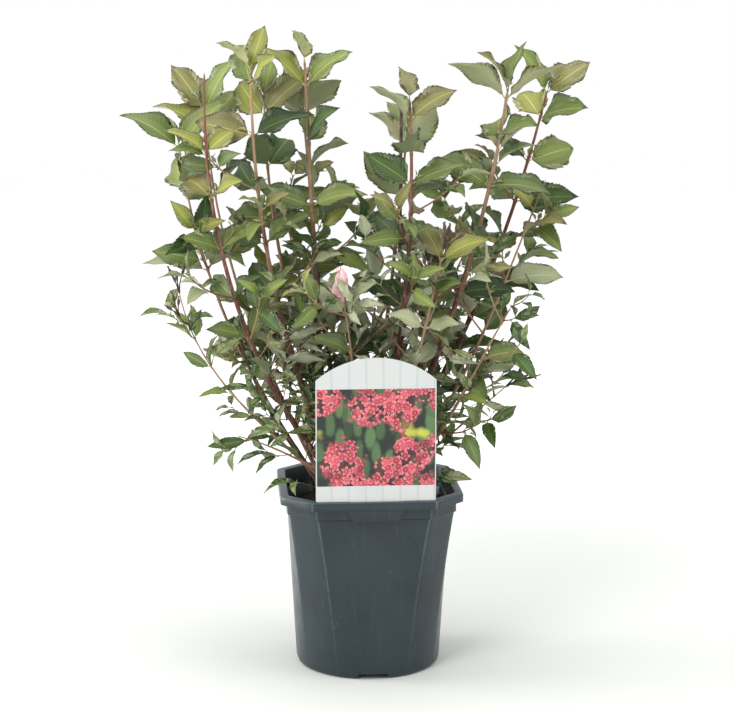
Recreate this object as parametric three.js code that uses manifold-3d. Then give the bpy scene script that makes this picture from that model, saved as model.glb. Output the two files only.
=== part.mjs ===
// A potted weigela shrub: a nursery pot with its soil, a plant label locked in the rim, a woody
// crown, the canes that rise from it, and on each cane one mass of twigs and leaves.
// Millimetres, +Z up. The origin is the centre of the pot's flat underside; the front faces -Y.
import * as THREE from 'three';
import { mergeVertices } from 'three/addons/utils/BufferGeometryUtils.js';
import Module from 'manifold-3d';

const wasm = await Module();
wasm.setup();

// ---------- driving dimensions ----------
const GAP = 0.3; // air left between neighbouring solids

const POT_HEIGHT = 195;
const RIM_HALF = 95; // half the width across the rim's flats
const RIM_BAND = 9;
const RIM_INNER_HALF = 86.3;
const COLLAR_HALF = 88.2;
const COLLAR_BAND = 12.5;
const WALL_TOP_HALF = 86;
const WALL_FOOT_HALF = 76.6;
const WALL_THICK = 1.7;
const FOOT_EDGE = 3;
const FLOOR_TOP = 7.5;
const RECESS = 4;
const PAD_RADIUS = 22;
const RING_INNER = 61;
const CREASE_TOP = 33.9; // degrees from the middle of a flat to its crease
const CREASE_FOOT = 28.7;
const ROUND_BELOW = 9; // the wall is round up to this height, and flat-sided from its collar up
const WALL_MIDDLE = 90;
const FACETS = 3; // steps across each flat and each corner
const NOTCH = { count: 4, width: 34, height: 6, inner: 56 };
const DRAIN = { radius: 4.5, from: 50 };

const SOIL_TOP = 168;
const SOIL_SETTLE = 4; // how far the soil drops towards the wall
const SOIL_FLAT = 30; // radius of its level middle

const LABEL = { width: 122.4, side: 125, rise: 23, thick: 0.9, x: 1.5, y: -91.2 };
const TONGUE = { top: 54, foot: 40, depth: 17 };
const POCKET = { wider: 3, front: 93.4, back: 86.5, top: 187, foot: 173.8 }; // round the tongue

const CROWN = new THREE.Vector3(-8, 6, SOIL_TOP);
const TRUNK = [ // height above the soil and radius, from the root flare to the fork
  { z: GAP, r: 19 }, { z: 3, r: 16 }, { z: 9, r: 13.2 }, { z: 20, r: 11.5 }, { z: 26, r: 7.5 },
];
const BUTTRESS = { sides: 10, ridge: 0.12, furrow: 0.06 }; // the trunk's ribs, shares of its radius
const FORK_START = { height: 12, radius: 5.4, rise: 0.5, hold: 0.4 };
const FOOT_RING = { inner: 31, outer: 45 };
const FOOT_RISE = { inner: 36, outer: 26 };
const STEEP_SPLAY = 28; // a cane that splays this much or more stands on the outer ring
const FIRST_FOOT = 10; // bearing of the first foot, degrees

const CANE_HOLD = 0.36; // how stiffly a cane keeps the slants of its two ends
const STEM_TAPER = 0.52; // share of its radius that a stem loses from foot to tip
const STEM_STEP = 45; // the longest ring of a stem
const SHELL_STEP = 26; // the same for the room that it takes
const JOINT = 3; // length of the joint that a leaf pair grows from, and of the axil above it
const PAIR = { // how leaf pairs change down a stem, and how far each strays
  opening: 0.22, growing: 0.38, stray: 14, parting: 0.55, uneven: 0.1,
};
// Below a share of the cane's length the leaves grow older over a further share of it: smaller,
// narrower and closer to the stem.
const OLD_LEAVES = { below: 0.75, over: 0.4, smaller: 0.15, narrower: 0.36, closer: 0.3 };
const TWIG = { // shape and leaves of a side twig, as shares unless they are mm or degrees
  radius: 1.25, taper: 0.35, bare: 0.3, shortest: 0.7, longest: 1.15, hug: 0.5, out: 0.9, rise: 0.8,
  hold: 0.3, elbow: 0.62, upturn: 0.36, internode: 30, closest: 0.6, stray: 30, leaf: 0.8, young: 0.7,
  growing: 0.2, open: 48, droop: 0.1, wide: 0.42,
};
// Faces of its joint that a twig tries, counted from its first, and the share of its length.
const TWIG_TRIES = [1, 0.7].flatMap((share) => [1, 3, 0, 2].map((turn) => ({ turn, share })));
const LEAF_THICK = 0.8;
const LEAF_CLEAR = 1.1; // room kept above and below a leaf when it is tested against others
const LEAF_FOLD = 0.28; // rise of the margin over the midrib for each mm of half width
const LEAF_SECTIONS = [{ t: 0.34, width: 0.98 }, { t: 0.7, width: 0.66 }]; // shares of length and width
const PETIOLE = { least: 2, share: 0.05 };
const TURN_TO_LIGHT = 0.35; // how far a leaf pair swings round towards the lit plane
const LIGHT = { x: 0.1, y: 1, z: 0.35 }; // where the light comes from; y is towards the lit side
const STRAY = { open: 10, droop: 0.4, length: 0.1, width: 0.08 }; // how far single leaves stray
const LEAF_ROLL = { least: 30, most: 74, lazy: 0.15, away: -0.6 }; // some leaves turn away instead
const LEAF_CURL = { least: 20, most: 58 };
const LEAF_ROOT = 1.7; // half width of the root that is tested
const TESTED_FROM = { others: 2, cane: 5, stem: 10 }; // how far past its base a leaf is tested
const AIR = { soil: 8, rim: 7, label: 6 }; // room kept round the soil, the rim and the label
const RETRIES = [ // further turn round the stem, wider opening and size, tried in this order
  { turn: 0, wider: 0, size: 1 },
  { turn: 0.35, wider: -8, size: 1 },
  { turn: -0.35, wider: 8, size: 1 },
  { turn: 0, wider: 16, size: 0.92 },
  { turn: 0.6, wider: 0, size: 0.85 },
  { turn: -0.6, wider: -12, size: 0.85 },
];
const STALK = { count: 4, radius: 0.95, short: 20, long: 42, narrow: 0.15, broad: 0.5, stray: 0.5 };
const BLOOM = { length: 36, radius: 5.5, widths: [0.25, 0.35, 1, 0] };

// Each cane: bearing and reach of its tip from the crown's middle, height of its tip over the pot's
// underside, angles from the upright at its foot (splay) and tip (lean), diameter at its foot, and
// how it bears leaves: turn of the top pair round the stem, internode and the share of it that parts
// the top two pairs (closest), leaf length, side twigs and the pair that the first grows from, length
// of bare tip, size (young) and opening (gape) of the top pair as shares, and the side that its
// leaves face.
const USUAL = {
  from: 0.2, turn: 45, internode: 56, closest: 0.42, leaf: 62, wide: 0.56, open: 58, droop: 0.12,
  loss: 0.05, young: 0.62, gape: 0.42, bareTip: 0, twigs: 3, twigsFrom: 4, twig: 66, faces: 'front',
  top: 'leaves',
};
const CANES = [
  { name: 'left_outer', bearing: 168, reach: 191, height: 545, splay: 36, lean: 8, thick: 5.5, turn: 8,
    internode: 92, leaf: 72, wide: 0.42, open: 50, twigs: 4, twigsFrom: 2, young: 1, gape: 0.85 },
  { name: 'left_bare_tip', bearing: -169, reach: 162, height: 625, splay: 40, lean: -2, thick: 7.5,
    turn: 25, internode: 48, closest: 0.95, leaf: 56, bareTip: 80, young: 0.75, gape: 0.8, twigs: 5,
    twigsFrom: 3 },
  { name: 'left_back', bearing: 150, reach: 185, height: 581, splay: 32, lean: 4, thick: 5.5, turn: -40,
    internode: 66, leaf: 68, young: 0.95, gape: 0.4 },
  { name: 'left_tall', bearing: -178, reach: 112, height: 628, splay: 22, lean: 0, thick: 8, turn: 10,
    internode: 60, closest: 0.25, leaf: 62, young: 0.7, twigs: 6, twigsFrom: 3 },
  { name: 'left_tall_back', bearing: 145, reach: 118, height: 600, splay: 20, lean: 0, thick: 7, turn: 50,
    internode: 58, leaf: 64, twigs: 5, twigsFrom: 3 },
  { name: 'middle_tall', bearing: 158, reach: 60, height: 636, splay: 8, lean: 4, thick: 8.5, turn: 80,
    internode: 60, closest: 0.45, leaf: 60, young: 0.62, twigs: 7, twigsFrom: 3 },
  { name: 'middle_right', bearing: -38, reach: 61, height: 598, splay: 8, lean: -4, thick: 8.5, turn: 80,
    internode: 32, closest: 0.6, leaf: 56, young: 0.7, twigs: 6 },
  { name: 'right_tall', bearing: -15, reach: 153, height: 606, splay: 23, lean: 8, thick: 9, turn: 84,
    internode: 54, closest: 0.15, leaf: 62, young: 0.9, twigs: 7, twigsFrom: 3 },
  { name: 'right_outer', bearing: 10, reach: 204, height: 602, splay: 32, lean: 14, thick: 8, turn: 30,
    internode: 44, closest: 0.6, leaf: 66, young: 0.85, gape: 0.7, twigs: 5, twigsFrom: 3 },
  { name: 'right_thin', bearing: 1, reach: 196, height: 513, splay: 36, lean: 22, thick: 5, turn: 20,
    internode: 58, bareTip: 34, leaf: 64, gape: 0.9, twigs: 3, twigsFrom: 2 },
  { name: 'right_front', bearing: -42, reach: 108, height: 452, splay: 26, lean: 14, thick: 5.5, turn: 60,
    internode: 38, leaf: 50, twigs: 4, twigsFrom: 2, top: 'stalks' },
  { name: 'right_low', bearing: -20, reach: 161, height: 386, splay: 42, lean: 30, thick: 5.5, turn: 30,
    internode: 42, leaf: 52, wide: 0.5, twigs: 4, twigsFrom: 1 },
  { name: 'right_lowest', bearing: 5, reach: 160, height: 292, splay: 58, lean: 50, thick: 4, turn: 20,
    internode: 40, leaf: 48, wide: 0.42, twigs: 3, twigsFrom: 1, top: 'stalks' },
  { name: 'left_low', bearing: -172, reach: 190, height: 404, splay: 46, lean: 10, thick: 4, turn: -35,
    internode: 32, leaf: 36, wide: 0.36, open: 44, loss: 0.15, twigs: 0, bareTip: 40, top: 'stalks' },
  { name: 'left_arching', bearing: -158, reach: 141, height: 256, splay: 62, lean: 74, thick: 4, turn: 80,
    internode: 30, leaf: 42, wide: 0.28, open: 34, twigs: 0 },
  { name: 'front_low', bearing: -110, reach: 60, height: 395, splay: 14, lean: 14, thick: 5.5, turn: 50,
    internode: 40, leaf: 50, wide: 0.5, twigs: 4, twigsFrom: 1, top: 'bloom' },
  { name: 'back_tall', bearing: 122, reach: 104, height: 600, splay: 14, lean: 6, thick: 7, turn: 50,
    twigs: 6, twigsFrom: 3, faces: 'back' },
  { name: 'back_right_tall', bearing: 60, reach: 120, height: 560, splay: 24, lean: 12, thick: 7,
    turn: 26, twigs: 5, twigsFrom: 3, faces: 'back' },
  { name: 'back_left_low', bearing: 120, reach: 150, height: 470, splay: 36, lean: 24, thick: 6, turn: 70,
    internode: 54, leaf: 60, twigs: 4, faces: 'back' },
  { name: 'back_right_low', bearing: 35, reach: 150, height: 430, splay: 38, lean: 30, thick: 6, turn: 40,
    internode: 52, leaf: 60, twigs: 4, faces: 'back' },
];

// ---------- materials ----------
const paint = (color, roughness) => new THREE.MeshStandardMaterial({ color, roughness, metalness: 0 });
const POT_PLASTIC = paint(0x3c464d, 0.45);
const SOIL = paint(0x241a12, 0.95);
const CARD = paint(0xf1f0ec, 0.4);
const BARK = paint(0x6a4a34, 0.8);
const CANE_BARK = paint(0x7a4636, 0.65);
const FOLIAGE = paint(0x5c7036, 0.55);

// ---------- small helpers ----------
const UP = new THREE.Vector3(0, 0, 1);
const quarter = Math.PI / 2;
const radians = THREE.MathUtils.degToRad;
const lerp = THREE.MathUtils.lerp;
const clamp = THREE.MathUtils.clamp;
const v3 = (x, y, z) => new THREE.Vector3(x, y, z);
// a + b * scale, as a new vector
const plus = (a, b, scale = 1) => a.clone().addScaledVector(b, scale);
const cross = (a, b) => a.clone().cross(b);

// A number from 0 to 1 that depends only on its whole-number keys.
function chance(...keys) {
  let h = 2166136261;
  for (const key of keys) h = Math.imul(h ^ key, 16777619);
  h ^= h >>> 15;
  h = Math.imul(h, 2246822519);
  h ^= h >>> 13;
  h = Math.imul(h, 3266489917);
  h ^= h >>> 16;
  return (h >>> 0) / 4294967296;
}
const spread = (low, high, ...keys) => low + (high - low) * chance(...keys);

// A closed solid from a three.js geometry: shared vertices merged, triangles with no area dropped.
function solid(geometry) {
  const bare = geometry.clone();
  bare.deleteAttribute('normal');
  bare.deleteAttribute('uv');
  const merged = mergeVertices(bare, 1e-5);
  const index = merged.getIndex().array;
  const kept = [];
  for (let i = 0; i < index.length; i += 3) {
    const [a, b, c] = [index[i], index[i + 1], index[i + 2]];
    if (a !== b && b !== c && c !== a) kept.push(a, b, c);
  }
  const mesh = new wasm.Mesh({
    numProp: 3,
    vertProperties: new Float32Array(merged.getAttribute('position').array),
    triVerts: new Uint32Array(kept),
  });
  return new wasm.Manifold(mesh);
}

const join = (pieces) => pieces.reduce((whole, piece) => whole.add(piece));

function node(name, body, material) {
  const mesh = body.getMesh();
  const geometry = new THREE.BufferGeometry();
  geometry.setAttribute('position', new THREE.BufferAttribute(mesh.vertProperties, 3));
  geometry.setIndex(new THREE.BufferAttribute(mesh.triVerts, 1));
  geometry.computeVertexNormals();
  const part = new THREE.Mesh(geometry, material);
  part.name = name;
  return part;
}

// A closed skin made of loops of four points. Every loop runs counter-clockwise as its limb's tip
// sees it, and side i of two loops is the quad between their points i and i + 1.
class Skin {
  points = [];

  triangles = [];

  loop(corners) {
    return corners.map((corner) => this.points.push(corner) - 1);
  }

  quad([a, b, c, d]) {
    this.triangles.push(a, b, c, a, c, d);
  }

  side(low, high, i) {
    const j = (i + 1) % 4;
    return [low[i], low[j], high[j], high[i]];
  }

  // Joins two loops, but for the sides left open for a limb to grow out of.
  bridge(low, high, open = []) {
    for (let i = 0; i < 4; i += 1) if (!open.includes(i)) this.quad(this.side(low, high, i));
  }

  // Starts a limb on an open side: the side's points are turned to face the limb's first loop.
  sprout(root, high) {
    const fit = (turn) => high.reduce((sum, id, i) => {
      return sum + this.points[id].distanceToSquared(this.points[root[(i + turn) % 4]]);
    }, 0);
    const best = [0, 1, 2, 3].reduce((a, b) => (fit(b) < fit(a) ? b : a));
    this.bridge([0, 1, 2, 3].map((i) => root[(i + best) % 4]), high);
  }

  close(loop, point) {
    const [tip] = this.loop([point]);
    for (let i = 0; i < 4; i += 1) this.triangles.push(loop[i], loop[(i + 1) % 4], tip);
  }

  geometry() {
    const shape = new THREE.BufferGeometry().setFromPoints(this.points);
    return shape.setIndex(this.triangles);
  }
}

// A cylinder or cone along +Y whose rings are moved one by one: place(ring, side) gives the new
// place of each vertex, and place(ring) that of a ring's middle.
function reshape(sides, rings, pointed, place) {
  const shape = new THREE.CylinderGeometry(pointed ? 0 : 1, 1, 1, sides, rings);
  const position = shape.getAttribute('position');
  for (let i = 0; i < position.count; i += 1) {
    const [x, y, z] = [position.getX(i), position.getY(i), position.getZ(i)];
    const ring = Math.round((y + 0.5) * rings);
    const side = Math.round((Math.atan2(x, z) / (2 * Math.PI)) * sides + sides) % sides;
    const middle = Math.hypot(x, z) < 1e-9;
    const moved = middle ? place(ring) : place(ring, side);
    position.setXYZ(i, moved.x, moved.y, moved.z);
  }
  return solid(shape);
}

// ---------- paths ----------
// A line of close points with the length run up to each.
function trail(points) {
  const run = [0];
  for (let i = 1; i < points.length; i += 1) run.push(run[i - 1] + points[i].distanceTo(points[i - 1]));
  return { points, run, length: run[run.length - 1] };
}

function curve(a, b, c, d, steps) {
  return trail(new THREE.CubicBezierCurve3(a, b, c, d).getPoints(steps));
}

// Place and direction at a length along a trail.
function along(path, length) {
  const at = Math.min(Math.max(length, 0), path.length);
  let i = 0;
  while (i < path.points.length - 2 && path.run[i + 1] <= at) i += 1;
  const share = (at - path.run[i]) / (path.run[i + 1] - path.run[i]);
  const place = path.points[i].clone().lerp(path.points[i + 1], share);
  const way = path.points[i + 1].clone().sub(path.points[i]).normalize();
  return { place, way };
}

// The direction square to `way` at an angle round it, measured from +X as `way` tips over from +Z.
function around(way, angle) {
  const [x, y] = [Math.cos(angle), Math.sin(angle)];
  const tipped = way.x * x + way.y * y;
  return v3(x - (way.x * tipped) / (1 + way.z), y - (way.y * tipped) / (1 + way.z), -tipped);
}

// A limb: rings with `sides` corners, from length `from` to length `to` of a path.
function limb(path, from, to, radiusAt, sides, step, pointed = false) {
  const rings = Math.max(1, Math.round((to - from) / step));
  return reshape(sides, rings, pointed, (ring, side) => {
    const length = lerp(from, to, ring / rings);
    const { place, way } = along(path, length);
    if (side === undefined) return place;
    return plus(place, around(way, (side / sides) * 2 * Math.PI), radiusAt(length));
  });
}

// ---------- pot, soil and label ----------
const COLLAR_FOOT = POT_HEIGHT - RIM_BAND - COLLAR_BAND;
const shareUp = (z, low, high) => Math.min(Math.max((z - low) / (high - low), 0), 1);

// The pot's outline at height z and half width `half`: four flats joined by chamfered corners at
// the top, round at the foot. `step` counts the points round from the middle of a crease.
function potPoint(step, half, z) {
  const square = shareUp(z, ROUND_BELOW, COLLAR_FOOT);
  const crease = radians(lerp(CREASE_FOOT, CREASE_TOP, square));
  const quadrant = Math.floor(step / (2 * FACETS));
  const within = step % (2 * FACETS);
  const corner = within >= FACETS;
  const share = (within % FACETS) / FACETS;
  const angle = corner ? lerp(crease, quarter - crease, share) : lerp(-crease, crease, share);
  const chamfer = (half * (1 + Math.tan(crease))) / (Math.cos(angle) + Math.sin(angle));
  const straight = corner ? chamfer : half / Math.cos(angle);
  const radius = lerp(half, straight, square);
  const bearing = angle + quadrant * quarter;
  return v3(radius * Math.cos(bearing), radius * Math.sin(bearing), z);
}

// Turns a profile of [half width, height] rows, from the axis back to the axis, round the pot.
function potTurn(profile) {
  const steps = 8 * FACETS;
  const points = profile.map(([half, z]) => new THREE.Vector2(half, z));
  const shape = new THREE.LatheGeometry(points, steps);
  const position = shape.getAttribute('position');
  for (let i = 0; i < position.count; i += 1) {
    const step = Math.floor(i / points.length) % steps;
    const { x: half, y: z } = points[i % points.length];
    const moved = half === 0 ? v3(0, 0, z) : potPoint(step, half, z);
    position.setXYZ(i, moved.x, moved.y, moved.z);
  }
  return solid(shape);
}

const wallHalf = (z) => lerp(WALL_FOOT_HALF, WALL_TOP_HALF, shareUp(z, FOOT_EDGE, COLLAR_FOOT));

// A plate that stands across Y, its outline drawn in X and Z and its middle at `y`.
function plate(outline, thick, y) {
  const options = { depth: thick, bevelEnabled: false, curveSegments: 10 };
  const shape = new THREE.ExtrudeGeometry(outline, options);
  return shape.translate(0, 0, -thick / 2).rotateX(Math.PI / 2).translate(0, y, 0);
}

function tongueOutline(wider, top, foot) {
  const outline = new THREE.Shape();
  outline.moveTo(LABEL.x - TONGUE.top / 2 - wider, top);
  outline.lineTo(LABEL.x - TONGUE.foot / 2 - wider, foot);
  outline.lineTo(LABEL.x + TONGUE.foot / 2 + wider, foot);
  outline.lineTo(LABEL.x + TONGUE.top / 2 + wider, top);
  return outline;
}

// The space inside the pot, drawn in by `shrink` all round.
function hollow(shrink) {
  const inside = (z) => wallHalf(z) - WALL_THICK - shrink;
  const floor = FLOOR_TOP + shrink;
  return potTurn([
    [0, floor], [inside(floor) - 1.5, floor], [inside(ROUND_BELOW), ROUND_BELOW + shrink],
    [inside(WALL_MIDDLE), WALL_MIDDLE], [inside(COLLAR_FOOT), COLLAR_FOOT],
    [RIM_INNER_HALF - shrink, COLLAR_FOOT + 1.5], [RIM_INNER_HALF - shrink, POT_HEIGHT + 1],
    [0, POT_HEIGHT + 1],
  ]);
}

// A thick skin round the hollow, with a recessed underside, a pocket and slot that lock the label,
// notches round its foot and drain holes through its floor.
function pot() {
  const rimFoot = POT_HEIGHT - RIM_BAND;
  const block = potTurn([
    [0, 0], [PAD_RADIUS, 0], [PAD_RADIUS + 3, RECESS], [RING_INNER - 3, RECESS], [RING_INNER, 0],
    [WALL_FOOT_HALF - FOOT_EDGE, 0], [WALL_FOOT_HALF, FOOT_EDGE], [wallHalf(ROUND_BELOW), ROUND_BELOW],
    [wallHalf(WALL_MIDDLE), WALL_MIDDLE], [WALL_TOP_HALF, COLLAR_FOOT],
    [COLLAR_HALF, COLLAR_FOOT + 1.5], [COLLAR_HALF, rimFoot - 0.5], [RIM_HALF - 0.6, rimFoot],
    [RIM_HALF, rimFoot + 1], [RIM_HALF, POT_HEIGHT - 1.2], [RIM_HALF - 1.2, POT_HEIGHT], [0, POT_HEIGHT],
  ]);
  const pocketDepth = POCKET.front - POCKET.back;
  const pocketMiddle = -(POCKET.front + POCKET.back) / 2;
  const pocketOutline = tongueOutline(POCKET.wider, POCKET.top, POCKET.foot);
  const slotOutline = tongueOutline(GAP, POT_HEIGHT + 1, POT_HEIGHT - TONGUE.depth - GAP);
  const pocket = plate(pocketOutline, pocketDepth, pocketMiddle);
  const slot = plate(slotOutline, LABEL.thick + 2 * GAP, LABEL.y);
  let body = block.add(solid(pocket)).subtract(hollow(0)).subtract(solid(slot));
  for (let i = 0; i < NOTCH.count; i += 1) {
    const turn = (i * 2 * Math.PI) / NOTCH.count;
    const length = WALL_FOOT_HALF + 10 - NOTCH.inner;
    const notch = new THREE.BoxGeometry(length, NOTCH.width, NOTCH.height + 2);
    notch.translate(NOTCH.inner + length / 2, 0, NOTCH.height / 2 - 1).rotateZ(turn);
    const drain = new THREE.CylinderGeometry(DRAIN.radius, DRAIN.radius, FLOOR_TOP + 4, 10);
    drain.rotateX(quarter).translate(DRAIN.from, 0, FLOOR_TOP / 2 + 1);
    drain.rotateZ(turn + Math.PI / NOTCH.count);
    body = body.subtract(solid(notch)).subtract(solid(drain));
  }
  return node('pot', body, POT_PLASTIC);
}

// The soil fills the hollow up to a level middle that falls away to the wall.
function soil() {
  const fall = SOIL_SETTLE / (COLLAR_HALF - SOIL_FLAT);
  const beyond = 2 * COLLAR_HALF;
  const edge = SOIL_TOP - fall * (beyond - SOIL_FLAT);
  const rows = [[0, 0], [beyond, 0], [beyond, edge], [SOIL_FLAT, SOIL_TOP], [0, SOIL_TOP]];
  const profile = rows.map(([r, z]) => new THREE.Vector2(r, z));
  const mound = new THREE.LatheGeometry(profile, 8 * FACETS).rotateX(quarter);
  return node('soil', hollow(GAP).intersect(solid(mound)), SOIL);
}

// An upright card with straight sides and an arched top; its tongue drops into the rim's slot.
function label() {
  const half = LABEL.width / 2;
  const foot = POT_HEIGHT + GAP;
  const shoulder = foot + LABEL.side;
  const radius = (half * half + LABEL.rise * LABEL.rise) / (2 * LABEL.rise);
  const sweep = Math.asin(half / radius);
  const tongueFoot = POT_HEIGHT - TONGUE.depth;
  const outline = new THREE.Shape();
  outline.moveTo(LABEL.x - half, foot);
  outline.lineTo(LABEL.x - TONGUE.top / 2, foot);
  outline.lineTo(LABEL.x - TONGUE.foot / 2, tongueFoot);
  outline.lineTo(LABEL.x + TONGUE.foot / 2, tongueFoot);
  outline.lineTo(LABEL.x + TONGUE.top / 2, foot);
  outline.lineTo(LABEL.x + half, foot);
  outline.lineTo(LABEL.x + half, shoulder);
  outline.absarc(LABEL.x, shoulder + LABEL.rise - radius, radius, quarter - sweep, quarter + sweep);
  return node('plant_label', solid(plate(outline, LABEL.thick, LABEL.y)), CARD);
}

// ---------- canes ----------
// Each cane's foot stands on a ring round the crown, the feet in the order of the canes' bearings.
function seatFeet(canes) {
  const turned = (cane) => (cane.bearing + 360) % 360;
  const order = [...canes].sort((a, b) => turned(a) - turned(b));
  order.forEach((cane, rank) => {
    const ring = cane.splay >= STEEP_SPLAY ? 'outer' : 'inner';
    const bearing = radians(FIRST_FOOT + (360 * rank) / order.length);
    const out = v3(Math.cos(bearing), Math.sin(bearing), 0);
    cane.foot = plus(plus(CROWN, out, FOOT_RING[ring]), UP, FOOT_RISE[ring]);
  });
}

function canePath(cane) {
  const bearing = radians(cane.bearing);
  const tip = v3(CROWN.x, CROWN.y, cane.height);
  tip.addScaledVector(v3(Math.cos(bearing), Math.sin(bearing), 0), cane.reach);
  const away = tip.clone().sub(cane.foot).setZ(0).normalize();
  const hold = tip.distanceTo(cane.foot) * CANE_HOLD;
  const slanted = (degrees) => {
    const upright = UP.clone().multiplyScalar(Math.cos(radians(degrees)));
    return plus(upright, away, Math.sin(radians(degrees)));
  };
  const leaving = plus(cane.foot, slanted(cane.splay), hold);
  return curve(cane.foot, leaving, plus(tip, slanted(cane.lean), -hold), tip, 48);
}

function stemRadius(cane) {
  return (length) => (cane.thick / 2) * (1 - (STEM_TAPER * length) / cane.path.length);
}

// The crown: a short trunk on its root flare, forked into a stub towards each cane's foot.
function crown(canes) {
  const { sides } = BUTTRESS;
  const trunk = reshape(sides, TRUNK.length - 1, false, (ring, side) => {
    const { z, r } = TRUNK[ring];
    const middle = plus(CROWN, UP, z);
    if (side === undefined) return middle;
    const rib = side % 2 ? BUTTRESS.ridge : -BUTTRESS.furrow;
    const radius = r * (1 + rib * (1 - ring / (TRUNK.length - 1)));
    return plus(middle, around(UP, (side / sides) * 2 * Math.PI), radius);
  });
  const stubs = canes.map((cane) => {
    const start = plus(CROWN, UP, FORK_START.height);
    const end = along(cane.path, 0);
    const tip = plus(end.place, end.way, -GAP);
    const reach = tip.distanceTo(start) * FORK_START.hold;
    const out = tip.clone().sub(start).setZ(0).normalize();
    const rise = plus(out, UP, FORK_START.rise).normalize();
    const path = curve(start, plus(start, rise, reach), plus(tip, end.way, -reach), tip, 16);
    const radiusAt = (length) => lerp(FORK_START.radius, cane.thick / 2 + 0.2, length / path.length);
    return limb(path, 0, path.length, radiusAt, 4, 16);
  });
  return node('crown', join([trunk, ...stubs]), BARK);
}

// ---------- leaves ----------
// A leaf stands on `base` beside a stem that runs along `way`, at `angle` round it. It leans out by
// `open` degrees, sags a little, and rolls so that its upper face turns towards the light.
function makeLeaf(base, way, angle, { length, open, droop, wide }, light, keys) {
  const swung = angle - TURN_TO_LIGHT * 0.5 * Math.sin(2 * angle);
  const lean = radians(open + spread(-STRAY.open, STRAY.open, ...keys, 1));
  const out = plus(way.clone().multiplyScalar(Math.cos(lean)), around(way, swung), Math.sin(lean));
  const sag = droop * spread(1 - STRAY.droop, 1 + STRAY.droop, ...keys, 2);
  out.addScaledVector(UP, -sag).normalize();
  const sky = plus(way, UP, 0.5);
  const flat = sky.addScaledVector(out, -sky.dot(out)).normalize();
  const across = cross(out, flat);
  const towards = across.dot(light) > 0 ? 1 : -1;
  const lazy = chance(...keys, 4) < LEAF_ROLL.lazy ? LEAF_ROLL.away : 1;
  const roll = radians(spread(LEAF_ROLL.least, LEAF_ROLL.most, ...keys, 3)) * towards * lazy;
  const face = flat.multiplyScalar(Math.cos(roll)).addScaledVector(across, Math.sin(roll));
  return {
    base,
    out,
    face,
    across: cross(out, face),
    length: length * spread(1 - STRAY.length, 1 + STRAY.length, ...keys, 5),
    width: length * wide * spread(1 - STRAY.width, 1 + STRAY.width, ...keys, 6),
    curl: radians(spread(LEAF_CURL.least, LEAF_CURL.most, ...keys, 7)),
    petiole: PETIOLE.least + PETIOLE.share * length,
  };
}

// A point of the leaf: `t` runs from root to tip, `u` is mm to the side, `lift` mm over the midrib.
function leafPoint(leaf, t, u, lift) {
  const bend = leaf.curl * t;
  const forward = leaf.petiole + (leaf.length * Math.sin(bend)) / leaf.curl;
  const drop = (leaf.length * (1 - Math.cos(bend))) / leaf.curl;
  const up = plus(leaf.face.clone().multiplyScalar(Math.cos(bend)), leaf.out, Math.sin(bend));
  const point = plus(plus(leaf.base, leaf.out, forward), leaf.face, -drop);
  return plus(plus(point, leaf.across, u), up, lift);
}

const leafTip = (leaf) => leafPoint(leaf, 1, 0, 0);

// The blade folds up along its midrib: underside, one margin, upper side, other margin.
function leafSection(leaf, { t, width }, halfThick) {
  const half = (leaf.width / 2) * width;
  const fold = LEAF_FOLD * half;
  const corners = [[0, -halfThick], [-half, fold], [0, halfThick], [half, fold]];
  return corners.map(([u, lift]) => leafPoint(leaf, t, u, lift));
}

// A leaf grows out of an open side of its stem and ends in a point.
function growLeaf(skin, root, leaf) {
  const loops = LEAF_SECTIONS.map((section) => skin.loop(leafSection(leaf, section, LEAF_THICK / 2)));
  skin.sprout(root, loops[0]);
  skin.bridge(loops[0], loops[1]);
  skin.close(loops[1], leafTip(leaf));
}

// ---------- the space that each limb and leaf takes ----------
function sphereOf(triangles) {
  const middle = v3(0, 0, 0);
  for (const corners of triangles) for (const corner of corners) middle.add(corner);
  middle.divideScalar(3 * triangles.length);
  const radius = Math.max(...triangles.flat().map((corner) => corner.distanceTo(middle)));
  return { middle, radius };
}

// The triangles between two rings of four points, and between a point and such a ring.
function band(low, high) {
  return [0, 1, 2, 3].flatMap((i) => {
    const j = (i + 1) % 4;
    return [[low[i], low[j], high[j]], [low[i], high[j], high[i]]];
  });
}
const fan = (point, ring) => [0, 1, 2, 3].map((i) => [point, ring[i], ring[(i + 1) % 4]]);

// The blade with some room round it, from `skipped` mm past its base.
function leafShell(leaf, skipped) {
  const start = plus(leaf.base, leaf.out, skipped);
  const ring = [[0, -1], [-1, 0], [0, 1], [1, 0]].map(([u, lift]) => {
    return plus(plus(start, leaf.across, u * LEAF_ROOT), leaf.face, lift * LEAF_ROOT);
  });
  const sections = LEAF_SECTIONS.map((section) => leafSection(leaf, section, LEAF_THICK / 2 + LEAF_CLEAR));
  return [...band(ring, sections[0]), ...band(...sections), ...fan(leafTip(leaf), sections[1])];
}

// The room of a stem from a length on, in so many pieces.
function stemShells(path, start, count, radiusAt) {
  return Array.from({ length: count }, (_, i) => {
    const lengths = [i, i + 1].map((end) => lerp(start, path.length, end / count));
    const [low, high] = lengths.map((length) => along(path, length).place);
    const way = high.clone().sub(low).normalize();
    const [from, to] = lengths.map((length) => radiusAt(length) + LEAF_CLEAR);
    const ring = (middle, radius) => [0, 1, 2, 3].map((turn) => {
      return plus(middle, around(way, turn * quarter), radius);
    });
    return band(ring(low, from), ring(high, to));
  });
}

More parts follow.
